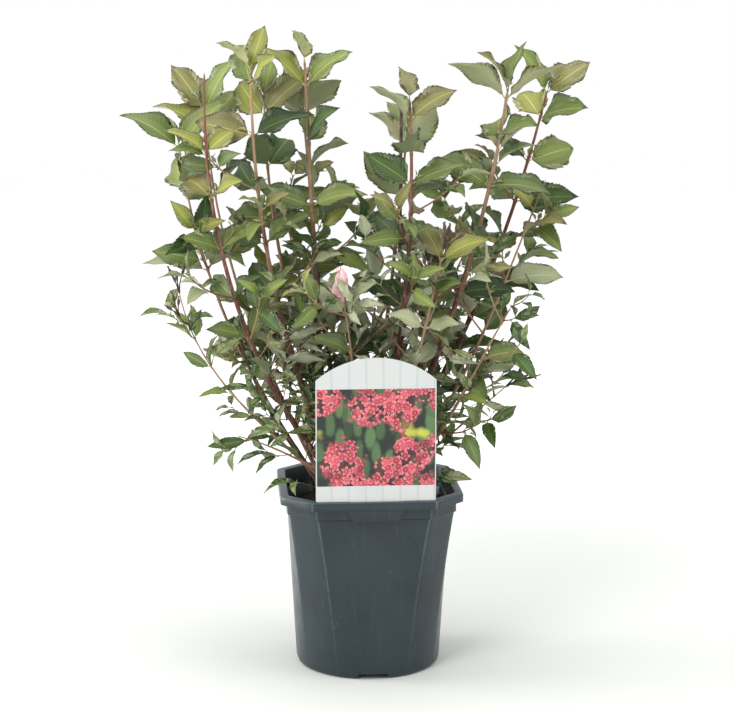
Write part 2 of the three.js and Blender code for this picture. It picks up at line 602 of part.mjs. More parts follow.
// Whether any edge of the first triangles passes through any of the second ones.
function pierces(edgesOf, through) {
  const [way, sideA, sideB, turned, start, lifted] = [v3(), v3(), v3(), v3(), v3(), v3()];
  for (const corners of edgesOf) {
    for (let i = 0; i < 3; i += 1) {
      const from = corners[i];
      way.subVectors(corners[(i + 1) % 3], from);
      for (const [a, b, c] of through) {
        sideA.subVectors(b, a);
        sideB.subVectors(c, a);
        turned.crossVectors(way, sideB);
        const scale = turned.dot(sideA);
        if (Math.abs(scale) <= 1e-12) continue;
        start.subVectors(from, a);
        const u = start.dot(turned) / scale;
        if (u < 0 || u > 1) continue;
        lifted.crossVectors(start, sideA);
        const v = way.dot(lifted) / scale;
        if (v < 0 || u + v > 1) continue;
        const t = lifted.dot(sideB) / scale;
        if (t >= 0 && t <= 1) return true;
      }
    }
  }
  return false;
}

const taken = []; // every shell placed so far, with the stem or leaf that owns it

function take(triangles, owner) {
  taken.push({ ...sphereOf(triangles), triangles, owner });
}

// Whether a shell crosses none of those that `counts` picks by their owner.
function isFree(triangles, counts) {
  const { middle, radius } = sphereOf(triangles);
  return taken.every((other) => {
    if (!counts(other.owner) || other.middle.distanceTo(middle) >= other.radius + radius) return true;
    return !pierces(triangles, other.triangles) && !pierces(other.triangles, triangles);
  });
}

// Foliage stays over the soil, clear of the rim on either side, and behind the label.
function isOpenAir(triangles) {
  return triangles.flat().every(({ x, y, z }) => {
    const out = Math.max(Math.abs(x), Math.abs(y));
    const overSoil = z >= SOIL_TOP + AIR.soil;
    const overRim = z >= POT_HEIGHT + AIR.rim;
    const besideRim = out <= RIM_INNER_HALF - AIR.rim || out >= RIM_HALF + AIR.rim;
    const behindLabel = y >= LABEL.y + AIR.label;
    const besideLabel = Math.abs(x - LABEL.x) >= LABEL.width / 2 + AIR.label;
    const overLabel = z >= POT_HEIGHT + LABEL.side + LABEL.rise;
    return overSoil && (overRim || besideRim) && (behindLabel || besideLabel || overLabel);
  });
}

// ---------- growth ----------
// Finds room for a leaf near its wanted place on a stem, and gives null where there is none. `shape`
// holds the leaf's length, opening, droop and width.
function placeLeaf(cane, stemName, { place, way }, angle, shape, keys) {
  const light = v3(LIGHT.x, cane.faces === 'front' ? -LIGHT.y : LIGHT.y, LIGHT.z).normalize();
  for (const { turn, wider, size } of RETRIES) {
    const tried = { ...shape, length: shape.length * size, open: shape.open + wider };
    const leaf = makeLeaf(place, way, angle + turn, tried, light, keys);
    const tests = [
      { from: TESTED_FROM.others, counts: (other) => other.cane !== cane },
      { from: TESTED_FROM.cane, counts: (other) => other.cane === cane && other.stem !== stemName },
      { from: TESTED_FROM.stem, counts: (other) => other.stem === stemName },
    ];
    const shell = leafShell(leaf, TESTED_FROM.others);
    if (isOpenAir(shell) && tests.every(({ from, counts }) => isFree(leafShell(leaf, from), counts))) {
      take(shell, { cane, stem: 'none' });
      return leaf;
    }
  }
  return null;
}

// Leaf pairs down the cane from its tip, each pair a quarter turn from the last.
function growPairs(cane, index) {
  const total = cane.path.length;
  let length = total - cane.bareTip;
  for (let pair = 0; length > cane.from * total + JOINT * 4; pair += 1) {
    const stem = along(cane.path, length);
    const aim = radians(cane.turn + spread(-PAIR.stray, PAIR.stray, index, pair, 9));
    const grown = Math.min(1, cane.young + PAIR.growing * pair);
    const old = clamp((OLD_LEAVES.below - length / total) / OLD_LEAVES.over, 0, 1);
    const opened = cane.open * Math.min(1, cane.gape + PAIR.opening * pair);
    const shape = {
      length: cane.leaf * grown * (1 - OLD_LEAVES.smaller * old),
      open: opened * (1 - OLD_LEAVES.closer * old),
      droop: cane.droop * Math.min(1, pair / 3),
      wide: cane.wide * (1 - OLD_LEAVES.narrower * old),
    };
    const sprouts = [];
    for (const side of [0, 1]) {
      const face = (pair + 2 * side) % 4;
      if (chance(index, pair, side, 11) < cane.loss) continue;
      const keys = [index, pair, side];
      const leaf = placeLeaf(cane, cane.name, stem, aim + face * quarter, shape, keys);
      if (leaf) sprouts.push({ face, leaf });
    }
    cane.joints.push({ length, aim, stem, pair, sprouts, twig: null });
    const gap = cane.internode * Math.min(1, cane.closest + PAIR.parting * pair);
    length -= gap * spread(1 - PAIR.uneven, 1 + PAIR.uneven, index, pair, 10);
  }
}

// A twig leaves its stem slanting out and turns up towards its tip.
function twigPath({ place, way }, angle, length) {
  const out = plus(way.clone().multiplyScalar(TWIG.hug), around(way, angle), TWIG.out).normalize();
  const rise = plus(out, UP, TWIG.rise).normalize();
  const elbow = plus(place, out, length * TWIG.elbow);
  const tip = plus(elbow, rise, length * TWIG.upturn);
  return curve(place, plus(place, out, length * TWIG.hold), elbow, tip, 12);
}

// Side twigs from the lower joints; each turns until it finds room, and bears smaller leaves.
function growTwigs(cane, index) {
  const joints = cane.joints.filter(({ pair }) => pair >= cane.twigsFrom).slice(0, cane.twigs);
  joints.forEach((joint, order) => {
    const first = joint.pair + 2 * Math.floor(chance(index, joint.pair, 12) * 2);
    const length = cane.twig * spread(TWIG.shortest, TWIG.longest, index, order, 21);
    for (const { turn, share } of TWIG_TRIES) {
      const face = (first + turn) % 4;
      const path = twigPath(joint.stem, joint.aim + face * quarter, length * share);
      const shells = stemShells(path, TESTED_FROM.cane, 3, () => TWIG.radius);
      const offCane = ({ stem }) => stem !== cane.name;
      if (!shells.every((shell) => isOpenAir(shell) && isFree(shell, offCane))) continue;
      const name = `twig ${order} of ${cane.name}`;
      shells.forEach((shell) => take(shell, { cane, stem: name }));
      joint.twig = { face, path, joints: twigPairs(cane, path, name, index, order) };
      return;
    }
  });
}

function twigPairs(cane, path, name, index, order) {
  const joints = [];
  let length = path.length;
  for (let pair = 0; length > path.length * TWIG.bare; pair += 1) {
    const stem = along(path, length);
    const aim = radians(spread(-TWIG.stray, TWIG.stray, index, order, pair, 22));
    const parted = Math.min(1, TWIG.closest + PAIR.parting * pair);
    const shape = {
      length: cane.leaf * TWIG.leaf * Math.min(1, TWIG.young + TWIG.growing * pair),
      open: TWIG.open * parted,
      droop: TWIG.droop,
      wide: TWIG.wide,
    };
    const sprouts = [];
    for (const side of [0, 1]) {
      const face = (pair + 2 * side) % 4;
      const keys = [index, 50 + order, pair * 2 + side];
      const leaf = placeLeaf(cane, name, stem, aim + face * quarter, shape, keys);
      if (leaf) sprouts.push({ face, leaf });
    }
    joints.push({ length, aim, sprouts });
    length -= TWIG.internode * parted;
  }
  return joints;
}

// ---------- the skins of the canes and the foliage ----------
// A ring of a square stem; its side 0 faces the angle `aim`.
function stemLoop(skin, path, length, aim, radius) {
  const { place, way } = along(path, length);
  const corner = (eighths) => plus(place, around(way, aim + (eighths * Math.PI) / 4), radius);
  return skin.loop([-1, 1, 3, 5].map(corner));
}

// Carries a square stem from the loop `last` over its joints, from the lowest up, to the path's end.
// Leaves and twigs grow out of the sides of short rings at the joints.
function growStem(skin, last, path, joints, radiusAt) {
  let low = last.loop;
  let { length, aim } = last;
  const carry = (to, turned, open = []) => {
    const high = stemLoop(skin, path, to, turned, radiusAt(to));
    skin.bridge(low, high, open);
    const sides = open.map((side) => skin.side(low, high, side));
    low = high;
    length = to;
    aim = turned;
    return sides;
  };
  for (const joint of [...joints].reverse()) {
    const ringFoot = Math.min(joint.length - JOINT / 2, path.length - JOINT);
    const gaps = Math.max(1, Math.round((ringFoot - length) / STEM_STEP));
    const [startAt, startAim] = [length, aim];
    for (let i = 1; i <= gaps; i += 1) {
      carry(lerp(startAt, ringFoot, i / gaps), lerp(startAim, joint.aim, i / gaps));
    }
    const roots = carry(ringFoot + JOINT, joint.aim, joint.sprouts.map(({ face }) => face));
    joint.sprouts.forEach(({ leaf }, i) => growLeaf(skin, roots[i], leaf));
    if (joint.twig) {
      const [axil] = carry(length + JOINT, joint.aim, [joint.twig.face]);
      growTwig(skin, axil, joint.twig, radiusAt(length));
    }
  }
  if (length < path.length - JOINT) carry(path.length, aim);
  skin.quad(low);
}

function growTwig(skin, root, { path, joints }, stemRadiusHere) {
  const radiusAt = (length) => TWIG.radius * (1 - (TWIG.taper * length) / path.length);
  const length = stemRadiusHere + JOINT;
  const { aim } = joints[joints.length - 1];
  const loop = stemLoop(skin, path, length, aim, radiusAt(length));
  skin.sprout(root, loop);
  growStem(skin, { loop, length, aim }, path, joints, radiusAt);
}

// Thin dry fruit stalks that fan out of a cane's tip.
function stalkPaths(cane, index) {
  const { place, way } = along(cane.path, cane.path.length - 3);
  return Array.from({ length: STALK.count }, (_, i) => {
    const stray = spread(-STALK.stray, STALK.stray, index, i, 31);
    const side = around(way, (i * 2 * Math.PI) / STALK.count + stray);
    const reach = spread(STALK.short, STALK.long, index, i, 32);
    const out = plus(way, side, spread(STALK.narrow, STALK.broad, index, i, 33)).normalize();
    const tip = plus(place, out, reach);
    return curve(place, plus(place, way, reach * 0.3), plus(tip, out, -reach * 0.3), tip, 8);
  });
}

// One faded bloom that stands on a cane's tip.
function bloomPaths(cane) {
  const { place, way } = along(cane.path, cane.path.length - 2);
  const tip = plus(place, way, BLOOM.length);
  return [curve(place, place.clone().lerp(tip, 1 / 3), place.clone().lerp(tip, 2 / 3), tip, 3)];
}

function bloomBody(path) {
  const steps = BLOOM.widths.length - 1;
  const radiusAt = (length) => BLOOM.radius * BLOOM.widths[Math.round((length / path.length) * steps)];
  return limb(path, 0, path.length, radiusAt, 6, path.length / steps, true);
}

const TOPS = { // what a cane's tip carries: its paths, and the solid and the room that each takes
  leaves: { paths: () => [] },
  stalks: {
    paths: stalkPaths,
    radiusAt: () => STALK.radius,
    body: (path) => limb(path, 0, path.length, () => STALK.radius, 3, path.length / 2),
  },
  bloom: { paths: bloomPaths, radiusAt: () => BLOOM.radius, body: bloomBody },
};

const lowestAim = (cane) => cane.joints[cane.joints.length - 1].aim;

// The upper part of a cane with all that grows on it, from just past the end of its bare part.
function foliage(cane) {
  const skin = new Skin();
  const length = cane.from * cane.path.length + GAP;
  const aim = lowestAim(cane);
  const loop = stemLoop(skin, cane.path, length, aim, stemRadius(cane)(length));
  skin.quad([...loop].reverse());
  growStem(skin, { loop, length, aim }, cane.path, cane.joints, stemRadius(cane));
  const pieces = [solid(skin.geometry()), ...cane.topPaths.map((path) => TOPS[cane.top].body(path))];
  return node(`foliage_${cane.name}`, join(pieces), FOLIAGE);
}

// The bare lower part of a cane.
function bough(cane) {
  const skin = new Skin();
  const end = cane.from * cane.path.length;
  const steps = Math.ceil(end / STEM_STEP);
  const loopAt = (length) => stemLoop(skin, cane.path, length, lowestAim(cane), stemRadius(cane)(length));
  let low = loopAt(0);
  skin.quad([...low].reverse());
  for (let i = 1; i <= steps; i += 1) {
    const high = loopAt((end * i) / steps);
    skin.bridge(low, high);
    low = high;
  }
  skin.quad(low);
  return node(`cane_${cane.name}`, solid(skin.geometry()), CANE_BARK);
}

// ---------- the whole plant ----------
const canes = CANES.map((cane) => ({ ...USUAL, ...cane, joints: [] }));
seatFeet(canes);
canes.forEach((cane, index) => {
  cane.path = canePath(cane);
  cane.topPaths = TOPS[cane.top].paths(cane, index);
  const count = Math.round(cane.path.length / SHELL_STEP);
  const shells = stemShells(cane.path, 0, count, stemRadius(cane));
  for (const path of cane.topPaths) {
    shells.push(...stemShells(path, TESTED_FROM.cane, 2, TOPS[cane.top].radiusAt));
  }
  shells.forEach((shell) => take(shell, { cane, stem: cane.name }));
});
canes.forEach((cane, index) => {
  growPairs(cane, index);
  growTwigs(cane, index);
});

const plant = new THREE.Group();
plant.add(pot(), soil(), label(), crown(canes));
canes.forEach((cane) => plant.add(bough(cane), foliage(cane)));

export default plant;
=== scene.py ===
import math
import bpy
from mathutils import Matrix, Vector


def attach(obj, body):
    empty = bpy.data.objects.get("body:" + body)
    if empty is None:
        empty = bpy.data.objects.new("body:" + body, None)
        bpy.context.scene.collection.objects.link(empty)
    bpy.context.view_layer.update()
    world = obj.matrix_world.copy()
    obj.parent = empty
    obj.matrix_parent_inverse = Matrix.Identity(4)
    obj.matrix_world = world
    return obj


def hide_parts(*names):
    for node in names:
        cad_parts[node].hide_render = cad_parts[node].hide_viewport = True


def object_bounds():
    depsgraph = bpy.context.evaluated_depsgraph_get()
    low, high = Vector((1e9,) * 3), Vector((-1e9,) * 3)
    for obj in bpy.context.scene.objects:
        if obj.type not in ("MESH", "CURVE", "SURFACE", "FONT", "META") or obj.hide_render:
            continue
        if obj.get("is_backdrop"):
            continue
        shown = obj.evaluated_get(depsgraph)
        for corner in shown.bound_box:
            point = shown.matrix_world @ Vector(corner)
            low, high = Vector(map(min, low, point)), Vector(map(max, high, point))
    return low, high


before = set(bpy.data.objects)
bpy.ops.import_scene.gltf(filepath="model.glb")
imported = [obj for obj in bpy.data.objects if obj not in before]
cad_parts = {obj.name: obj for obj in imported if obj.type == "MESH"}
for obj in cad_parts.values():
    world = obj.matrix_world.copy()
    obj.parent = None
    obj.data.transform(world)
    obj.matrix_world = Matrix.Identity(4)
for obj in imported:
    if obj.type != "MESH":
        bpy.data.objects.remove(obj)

from types import SimpleNamespace

import bmesh
import bpy
import numpy as np
from mathutils import Matrix, Vector

CAD_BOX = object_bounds()
MM = 0.001  # the growth rule works in millimetres, and the meshes in metres

# ---------- sizes, mm ----------
POT_HEIGHT = 195
RIM_HALF = 95
RIM_BAND = 9
RIM_INNER_HALF = 86.3
COLLAR_HALF = 88.2
COLLAR_BAND = 12.5
WALL_TOP_HALF = 86
WALL_FOOT_HALF = 76.6
WALL_THICK = 1.7
FOOT_EDGE = 3
FLOOR_TOP = 7.5
RECESS = 4
PAD_RADIUS = 22
RING_INNER = 61
CREASE_TOP = 33.9
CREASE_FOOT = 28.7
ROUND_BELOW = 9
NOTCH = dict(count=4, width=34, height=6, inner=56)
DRAIN = dict(radius=4.5, start=50)
SOIL_TOP = 168
SOIL_SETTLE = 4
SOIL_FLAT = 30
LABEL = dict(width=122.4, side=125, rise=23, thick=0.9, x=1.5, y=-91.2)
TONGUE = dict(top=54, foot=40, depth=17)
POCKET = dict(wider=3, front=93.4, back=86.5, top=187, foot=173.8)

CROWN = np.array([-8.0, 6.0, SOIL_TOP])
TRUNK = ((0.3, 19), (3, 16), (9, 13.2), (20, 11.5), (26, 7.5))
FORK_START = dict(height=12, radius=5.4, rise=0.5, hold=0.4)
FOOT_RING = dict(inner=31, outer=45)
FOOT_RISE = dict(inner=36, outer=26)
STEEP_SPLAY = 28
FIRST_FOOT = 10
CANE_HOLD = 0.36
STEM_TAPER = 0.52
SHELL_STEP = 26
JOINT = 3
PAIR = dict(opening=0.22, growing=0.38, stray=14, parting=0.55, uneven=0.1, sagging=3)
OLD_LEAVES = dict(below=0.75, over=0.4, smaller=0.15, narrower=0.36, closer=0.3)
TWIG = dict(radius=1.25, bare=0.3, shortest=0.7, longest=1.15, hug=0.5, out=0.9, rise=0.8,
            hold=0.3, elbow=0.62, upturn=0.36, internode=30, closest=0.6, stray=30, leaf=0.8, young=0.7,
            growing=0.2, open=48, droop=0.1, wide=0.42)
TWIG_TRIES = tuple((turn, share) for share in (1, 0.7) for turn in (1, 3, 0, 2))
LEAF_THICK = 0.8
LEAF_CLEAR = 1.1
LEAF_FOLD = 0.28
LEAF_SECTIONS = ((0.34, 0.98), (0.7, 0.66))
PETIOLE = dict(least=2, share=0.05)
TURN_TO_LIGHT = 0.35
LIGHT = (0.1, 1, 0.35)
STRAY = dict(open=10, droop=0.4, length=0.1, width=0.08)
LEAF_ROLL = dict(least=30, most=74, lazy=0.15, away=-0.6)
LEAF_CURL = (20, 58)
LEAF_ROOT = 1.7
TESTED_FROM = dict(others=2, cane=5, stem=10)
AIR = dict(soil=8, rim=7, label=6)
# How far a leaf turns round its stem, how much wider it opens, and its size, at each try for room.
RETRIES = ((0, 0, 1), (0.35, -8, 1), (-0.35, 8, 1), (0, 16, 0.92), (0.6, 0, 0.85), (-0.6, -12, 0.85))
STALK = dict(count=4, radius=0.95, short=20, long=42, narrow=0.15, broad=0.5, stray=0.5, hold=0.3, sunk=3)
BLOOM = dict(length=36, radius=5.5, sunk=2)

USUAL = dict(bare_foot=0.2, turn=45, internode=56, closest=0.42, leaf=62, wide=0.56, open=58, droop=0.12,
             loss=0.05, young=0.62, gape=0.42, bare_tip=0, twigs=3, twigs_from=4, twig=66, faces="front",
             top="leaves")


def a_cane(name, bearing, reach, height, splay, lean, thick, turn, **other):
    """A cane: the bearing it grows out on, in degrees, how far out its tip ends and how high over the
    ground, its slant at foot and tip, its thickness, and how its first leaf pair is turned."""
    return dict(USUAL, name=name, bearing=bearing, reach=reach, height=height, splay=splay, lean=lean,
                thick=thick, turn=turn, **other)


CANES = (
    a_cane("left_outer", 168, 191, 545, 36, 8, 5.5, 8, internode=92, leaf=72, wide=0.42, open=50, twigs=4,
           twigs_from=2, young=1, gape=0.85),
    a_cane("left_bare_tip", -169, 162, 625, 40, -2, 7.5, 25, internode=48, closest=0.95, leaf=56,
           bare_tip=80, young=0.75, gape=0.8, twigs=5, twigs_from=3),
    a_cane("left_back", 150, 185, 581, 32, 4, 5.5, -40, internode=66, leaf=68, young=0.95, gape=0.4),
    a_cane("left_tall", -178, 112, 628, 22, 0, 8, 10, internode=60, closest=0.25, leaf=62, young=0.7,
           twigs=6, twigs_from=3),
    a_cane("left_tall_back", 145, 118, 600, 20, 0, 7, 50, internode=58, leaf=64, twigs=5, twigs_from=3),
    a_cane("middle_tall", 158, 60, 636, 8, 4, 8.5, 80, internode=60, closest=0.45, leaf=60, young=0.62,
           twigs=7, twigs_from=3),
    a_cane("middle_right", -38, 61, 598, 8, -4, 8.5, 80, internode=32, closest=0.6, leaf=56, young=0.7,
           twigs=6),
    a_cane("right_tall", -15, 153, 606, 23, 8, 9, 84, internode=54, closest=0.15, leaf=62, young=0.9,
           twigs=7, twigs_from=3),
    a_cane("right_outer", 10, 204, 602, 32, 14, 8, 30, internode=44, closest=0.6, leaf=66, young=0.85,
           gape=0.7, twigs=5, twigs_from=3),
    a_cane("right_thin", 1, 196, 513, 36, 22, 5, 20, internode=58, bare_tip=34, leaf=64, gape=0.9, twigs=3,
           twigs_from=2),
    a_cane("right_front", -42, 108, 452, 26, 14, 5.5, 60, internode=38, leaf=50, twigs=4, twigs_from=2,
           top="stalks"),
    a_cane("right_low", -20, 161, 386, 42, 30, 5.5, 30, internode=42, leaf=52, wide=0.5, twigs=4,
           twigs_from=1),
    a_cane("right_lowest", 5, 160, 292, 58, 50, 4, 20, internode=40, leaf=48, wide=0.42, twigs=3,
           twigs_from=1, top="stalks"),
    a_cane("left_low", -172, 190, 404, 46, 10, 4, -35, internode=32, leaf=36, wide=0.36, open=44, loss=0.15,
           twigs=0, bare_tip=40, top="stalks"),
    a_cane("left_arching", -158, 141, 256, 62, 74, 4, 80, internode=30, leaf=42, wide=0.28, open=34,
           twigs=0),
    a_cane("front_low", -110, 60, 395, 14, 14, 5.5, 50, internode=40, leaf=50, wide=0.5, twigs=4,
           twigs_from=1, top="bloom"),
    a_cane("back_tall", 122, 104, 600, 14, 6, 7, 50, twigs=6, twigs_from=3, faces="back"),
    a_cane("back_right_tall", 60, 120, 560, 24, 12, 7, 26, twigs=5, twigs_from=3, faces="back"),
    a_cane("back_left_low", 120, 150, 470, 36, 24, 6, 70, internode=54, leaf=60, twigs=4, faces="back"),
    a_cane("back_right_low", 35, 150, 430, 38, 30, 6, 40, internode=52, leaf=60, twigs=4, faces="back"),
)

# ---------- small helpers ----------
UP = np.array([0.0, 0.0, 1.0])
QUARTER = math.pi / 2
FOUR = (0, 1, 2, 3)


def unit(v):
    return v / np.linalg.norm(v)


def lerp(a, b, share):
    return a + (b - a) * share


def clamp(x, low=0.0, high=1.0):
    return min(max(x, low), high)


def level(bearing):
    """The level direction at a bearing, in radians from +X."""
    return np.array([math.cos(bearing), math.sin(bearing), 0])


def chance(*keys):
    """A number from 0 to 1 that depends only on its whole-number keys. The last one tells draws apart."""
    mask = 0xFFFFFFFF
    h = 2166136261
    for key in keys:
        h = ((h ^ key) * 16777619) & mask
    h ^= h >> 15
    h = (h * 2246822519) & mask
    h ^= h >> 13
    h = (h * 3266489917) & mask
    h ^= h >> 16
    return h / 4294967296


def spread(low, high, *keys):
    return low + (high - low) * chance(*keys)


def sway(most, *keys):
    """A number within `most` of nought."""
    return spread(-most, most, *keys)


def near_one(most, *keys):
    return spread(1 - most, 1 + most, *keys)


# ---------- paths ----------
class Trail:
    """A line of close points with the length run up to each."""

    def __init__(self, points):
        self.points = np.array(points)
        steps = np.linalg.norm(np.diff(self.points, axis=0), axis=1)
        self.run = np.concatenate([[0.0], np.cumsum(steps)])
        self.length = self.run[-1]

    def at(self, length):
        """Place and direction at a length along the trail."""
        near = clamp(length, 0.0, self.length)
        i = min(int(np.searchsorted(self.run[1:], near, side="right")), len(self.points) - 2)
        share = (near - self.run[i]) / (self.run[i + 1] - self.run[i])
        step = self.points[i + 1] - self.points[i]
        return self.points[i] + step * share, unit(step)


def bezier(a, b, c, d, steps):
    t = np.linspace(0, 1, steps + 1)[:, None]
    s = 1 - t
    return Trail(s ** 3 * a + 3 * s ** 2 * t * b + 3 * s * t ** 2 * c + t ** 3 * d)


def around(way, angle):
    """The direction square to `way` at an angle round it, from +X as `way` tips over from +Z."""
    x, y = math.cos(angle), math.sin(angle)
    tipped = way[0] * x + way[1] * y
    return np.array([x - way[0] * tipped / (1 + way[2]), y - way[1] * tipped / (1 + way[2]), -tipped])


def cane_path(cane):
    bearing = math.radians(cane.bearing)
    tip = np.array([CROWN[0], CROWN[1], cane.height], float) + level(bearing) * cane.reach
    away = unit((tip - cane.foot) * (1, 1, 0))
    hold = np.linalg.norm(tip - cane.foot) * CANE_HOLD

    def slanted(degrees):
        return UP * math.cos(math.radians(degrees)) + away * math.sin(math.radians(degrees))

    low, high = cane.foot + slanted(cane.splay) * hold, tip - slanted(cane.lean) * hold
    return bezier(cane.foot, low, high, tip, 48)


def seat_feet(canes):
    """Each cane's foot stands on a ring round the crown, in the order of the canes' bearings."""
    order = sorted(canes, key=lambda cane: cane.bearing % 360)
    for rank, cane in enumerate(order):
        ring = "outer" if cane.splay >= STEEP_SPLAY else "inner"
        bearing = math.radians(FIRST_FOOT + 360 * rank / len(order))
        cane.foot = CROWN + level(bearing) * FOOT_RING[ring] + UP * FOOT_RISE[ring]


def stem_radius(cane, length):
    return cane.thick / 2 * (1 - STEM_TAPER * length / cane.path.length)


# ---------- leaves ----------
class Leaf:
    """Stands on `base` beside a stem that runs along `way`, at `angle` round it. It leans out by its
    opening, sags a little, and rolls so that its upper face turns towards the light."""

    def __init__(self, base, way, angle, shape, light, keys):
        swung = angle - TURN_TO_LIGHT * 0.5 * math.sin(2 * angle)
        lean = math.radians(shape.open + sway(STRAY["open"], *keys, 1))
        out = way * math.cos(lean) + around(way, swung) * math.sin(lean)
        out = unit(out - UP * (shape.droop * near_one(STRAY["droop"], *keys, 2)))
        sky = way + UP * 0.5
        flat = unit(sky - out * (sky @ out))
        across = np.cross(out, flat)
        towards = 1 if across @ light > 0 else -1
        lazy = LEAF_ROLL["away"] if chance(*keys, 4) < LEAF_ROLL["lazy"] else 1
        roll = math.radians(spread(LEAF_ROLL["least"], LEAF_ROLL["most"], *keys, 3)) * towards * lazy
        self.base = base
        self.out = out
        self.face = flat * math.cos(roll) + across * math.sin(roll)
        self.across = np.cross(out, self.face)
        self.length = shape.length * near_one(STRAY["length"], *keys, 5)
        self.width = shape.length * shape.wide * near_one(STRAY["width"], *keys, 6)
        self.curl = math.radians(spread(*LEAF_CURL, *keys, 7))
        self.petiole = PETIOLE["least"] + PETIOLE["share"] * shape.length
        self.keys = keys

    def points(self, t, u, lift):
        """Places on the blade, from numbers or arrays: `t` runs from root to tip, `u` is mm to the side,
        `lift` mm over the midrib."""
        t, u, lift = (np.asarray(value, float)[..., None] for value in (t, u, lift))
        bend = self.curl * t
        forward = self.petiole + self.length * np.sin(bend) / self.curl
        drop = self.length * (1 - np.cos(bend)) / self.curl
        up = self.face * np.cos(bend) + self.out * np.sin(bend)
        return self.base + self.out * forward - self.face * drop + self.across * u + up * lift

    def section(self, t, width, half_thick):
        half = self.width / 2 * width
        fold = LEAF_FOLD * half
        return self.points(t, (0, -half, 0, half), (-half_thick, fold, half_thick, fold))

    def shell(self, skipped, clear):
        """The blade's triangles with some room round it, from `skipped` mm past its base."""
        start = self.base + self.out * skipped
        corners = ((0, -1), (-1, 0), (0, 1), (1, 0))
        ring = [start + (self.across * u + self.face * lift) * LEAF_ROOT for u, lift in corners]
        low, high = [self.section(t, width, LEAF_THICK / 2 + clear) for t, width in LEAF_SECTIONS]
        tip = self.points(1, 0, 0)
        fan = [[tip, high[i], high[(i + 1) % 4]] for i in FOUR]
        return np.array(band(ring, low) + band(low, high) + fan)


# ---------- the space that each limb and leaf takes ----------
def band(low, high):
    """The triangles between two rings of four points."""
    pairs = [(i, (i + 1) % 4) for i in FOUR]
    return [t for i, j in pairs for t in ([low[i], low[j], high[j]], [low[i], high[j], high[i]])]


def stem_shells(path, start, count, radius_at):
    """The room of a stem from a length on, in so many pieces."""
    shells = []
    for i in range(count):
        lengths = [lerp(start, path.length, end / count) for end in (i, i + 1)]
        low, high = [path.at(length)[0] for length in lengths]
        way = unit(high - low)
        rings = [[middle + around(way, turn * QUARTER) * (radius_at(length) + LEAF_CLEAR) for turn in FOUR]
                 for middle, length in zip((low, high), lengths)]
        shells.append(np.array(band(*rings)))
    return shells


def pierces(edges_of, through):
    """Whether any edge of the first triangles passes through any of the second ones."""
    start = edges_of.reshape(-1, 1, 3)
    way = np.roll(edges_of, -1, axis=1).reshape(-1, 1, 3) - start
    a, b, c = through[:, 0], through[:, 1], through[:, 2]
    side_a, side_b = b - a, c - a
    turned = np.cross(way, side_b[None])
    scale = (turned * side_a).sum(-1)
    scale = np.where(np.abs(scale) <= 1e-12, np.nan, scale)
    offset = start - a
    u = (offset * turned).sum(-1) / scale
    lifted = np.cross(offset, side_a[None])
    v = (way * lifted).sum(-1) / scale
    t = (lifted * side_b).sum(-1) / scale
    return bool(((u >= 0) & (v >= 0) & (u + v <= 1) & (t >= 0) & (t <= 1)).any())


class Room:
    """Every shell placed so far, with the cane and the stem that own it."""

    def __init__(self):
        self.shells, self.owners, self.middles, self.radii = [], [], [], []

    @staticmethod
    def sphere(triangles):
        corners = triangles.reshape(-1, 3)
        middle = corners.mean(0)
        return middle, np.linalg.norm(corners - middle, axis=1).max()

    def take(self, triangles, cane, stem):
        middle, radius = self.sphere(triangles)
        self.shells.append(triangles)
        self.owners.append((cane, stem))
        self.middles.append(middle)
        self.radii.append(radius)

    def near(self, triangles):
        middle, radius = self.sphere(triangles)
        gaps = np.linalg.norm(np.array(self.middles) - middle, axis=1)
        return np.nonzero(gaps < np.array(self.radii) + radius)[0]

    def is_free(self, triangles, near, counts):
        """Whether a shell crosses none of those near it that `counts` picks by their owner."""
        middle, radius = self.sphere(triangles)
        others = [self.shells[i] for i in near if counts(*self.owners[i])
                  and np.linalg.norm(self.middles[i] - middle) < self.radii[i] + radius]
        if not others:
            return True
        through = np.concatenate(others)
        return not (pierces(triangles, through) or pierces(through, triangles))


def is_open_air(triangles):
    """Foliage stays over the soil, clear of the rim on either side, and behind the label."""
    x, y, z = triangles.reshape(-1, 3).T
    out = np.maximum(np.abs(x), np.abs(y))
    over_soil = z >= SOIL_TOP + AIR["soil"]
    off_rim = (z >= POT_HEIGHT + AIR["rim"]) | (out <= RIM_INNER_HALF - AIR["rim"])
    off_rim |= out >= RIM_HALF + AIR["rim"]
    off_label = (y >= LABEL["y"] + AIR["label"]) | (z >= POT_HEIGHT + LABEL["side"] + LABEL["rise"])
    off_label |= np.abs(x - LABEL["x"]) >= LABEL["width"] / 2 + AIR["label"]
    return bool((over_soil & off_rim & off_label).all())


# ---------- growth ----------
def light_on(cane):
    side = -LIGHT[1] if cane.faces == "front" else LIGHT[1]
    return unit(np.array([LIGHT[0], side, LIGHT[2]]))


def place_leaf(room, cane, stem_name, stem, angle, shape, keys, clear=LEAF_CLEAR, tries=RETRIES):
    """Finds room for a leaf near its wanted place on a stem, and gives None where there is none."""
    place, way = stem
    tests = (
        (TESTED_FROM["others"], lambda owner, _: owner != cane.name),
        (TESTED_FROM["cane"], lambda owner, name: owner == cane.name and name != stem_name),
        (TESTED_FROM["stem"], lambda _, name: name == stem_name),
    )
    for turn, wider, size in tries:
        tried = SimpleNamespace(length=shape.length * size, open=shape.open + wider,
                                droop=shape.droop, wide=shape.wide)
        leaf = Leaf(place, way, angle + turn, tried, light_on(cane), keys)
        shell = leaf.shell(TESTED_FROM["others"], clear)
        if not is_open_air(shell):
            continue
        near = room.near(shell)
        if all(room.is_free(leaf.shell(start, clear), near, counts) for start, counts in tests):
            room.take(shell, cane.name, "none")
            return leaf
    return None


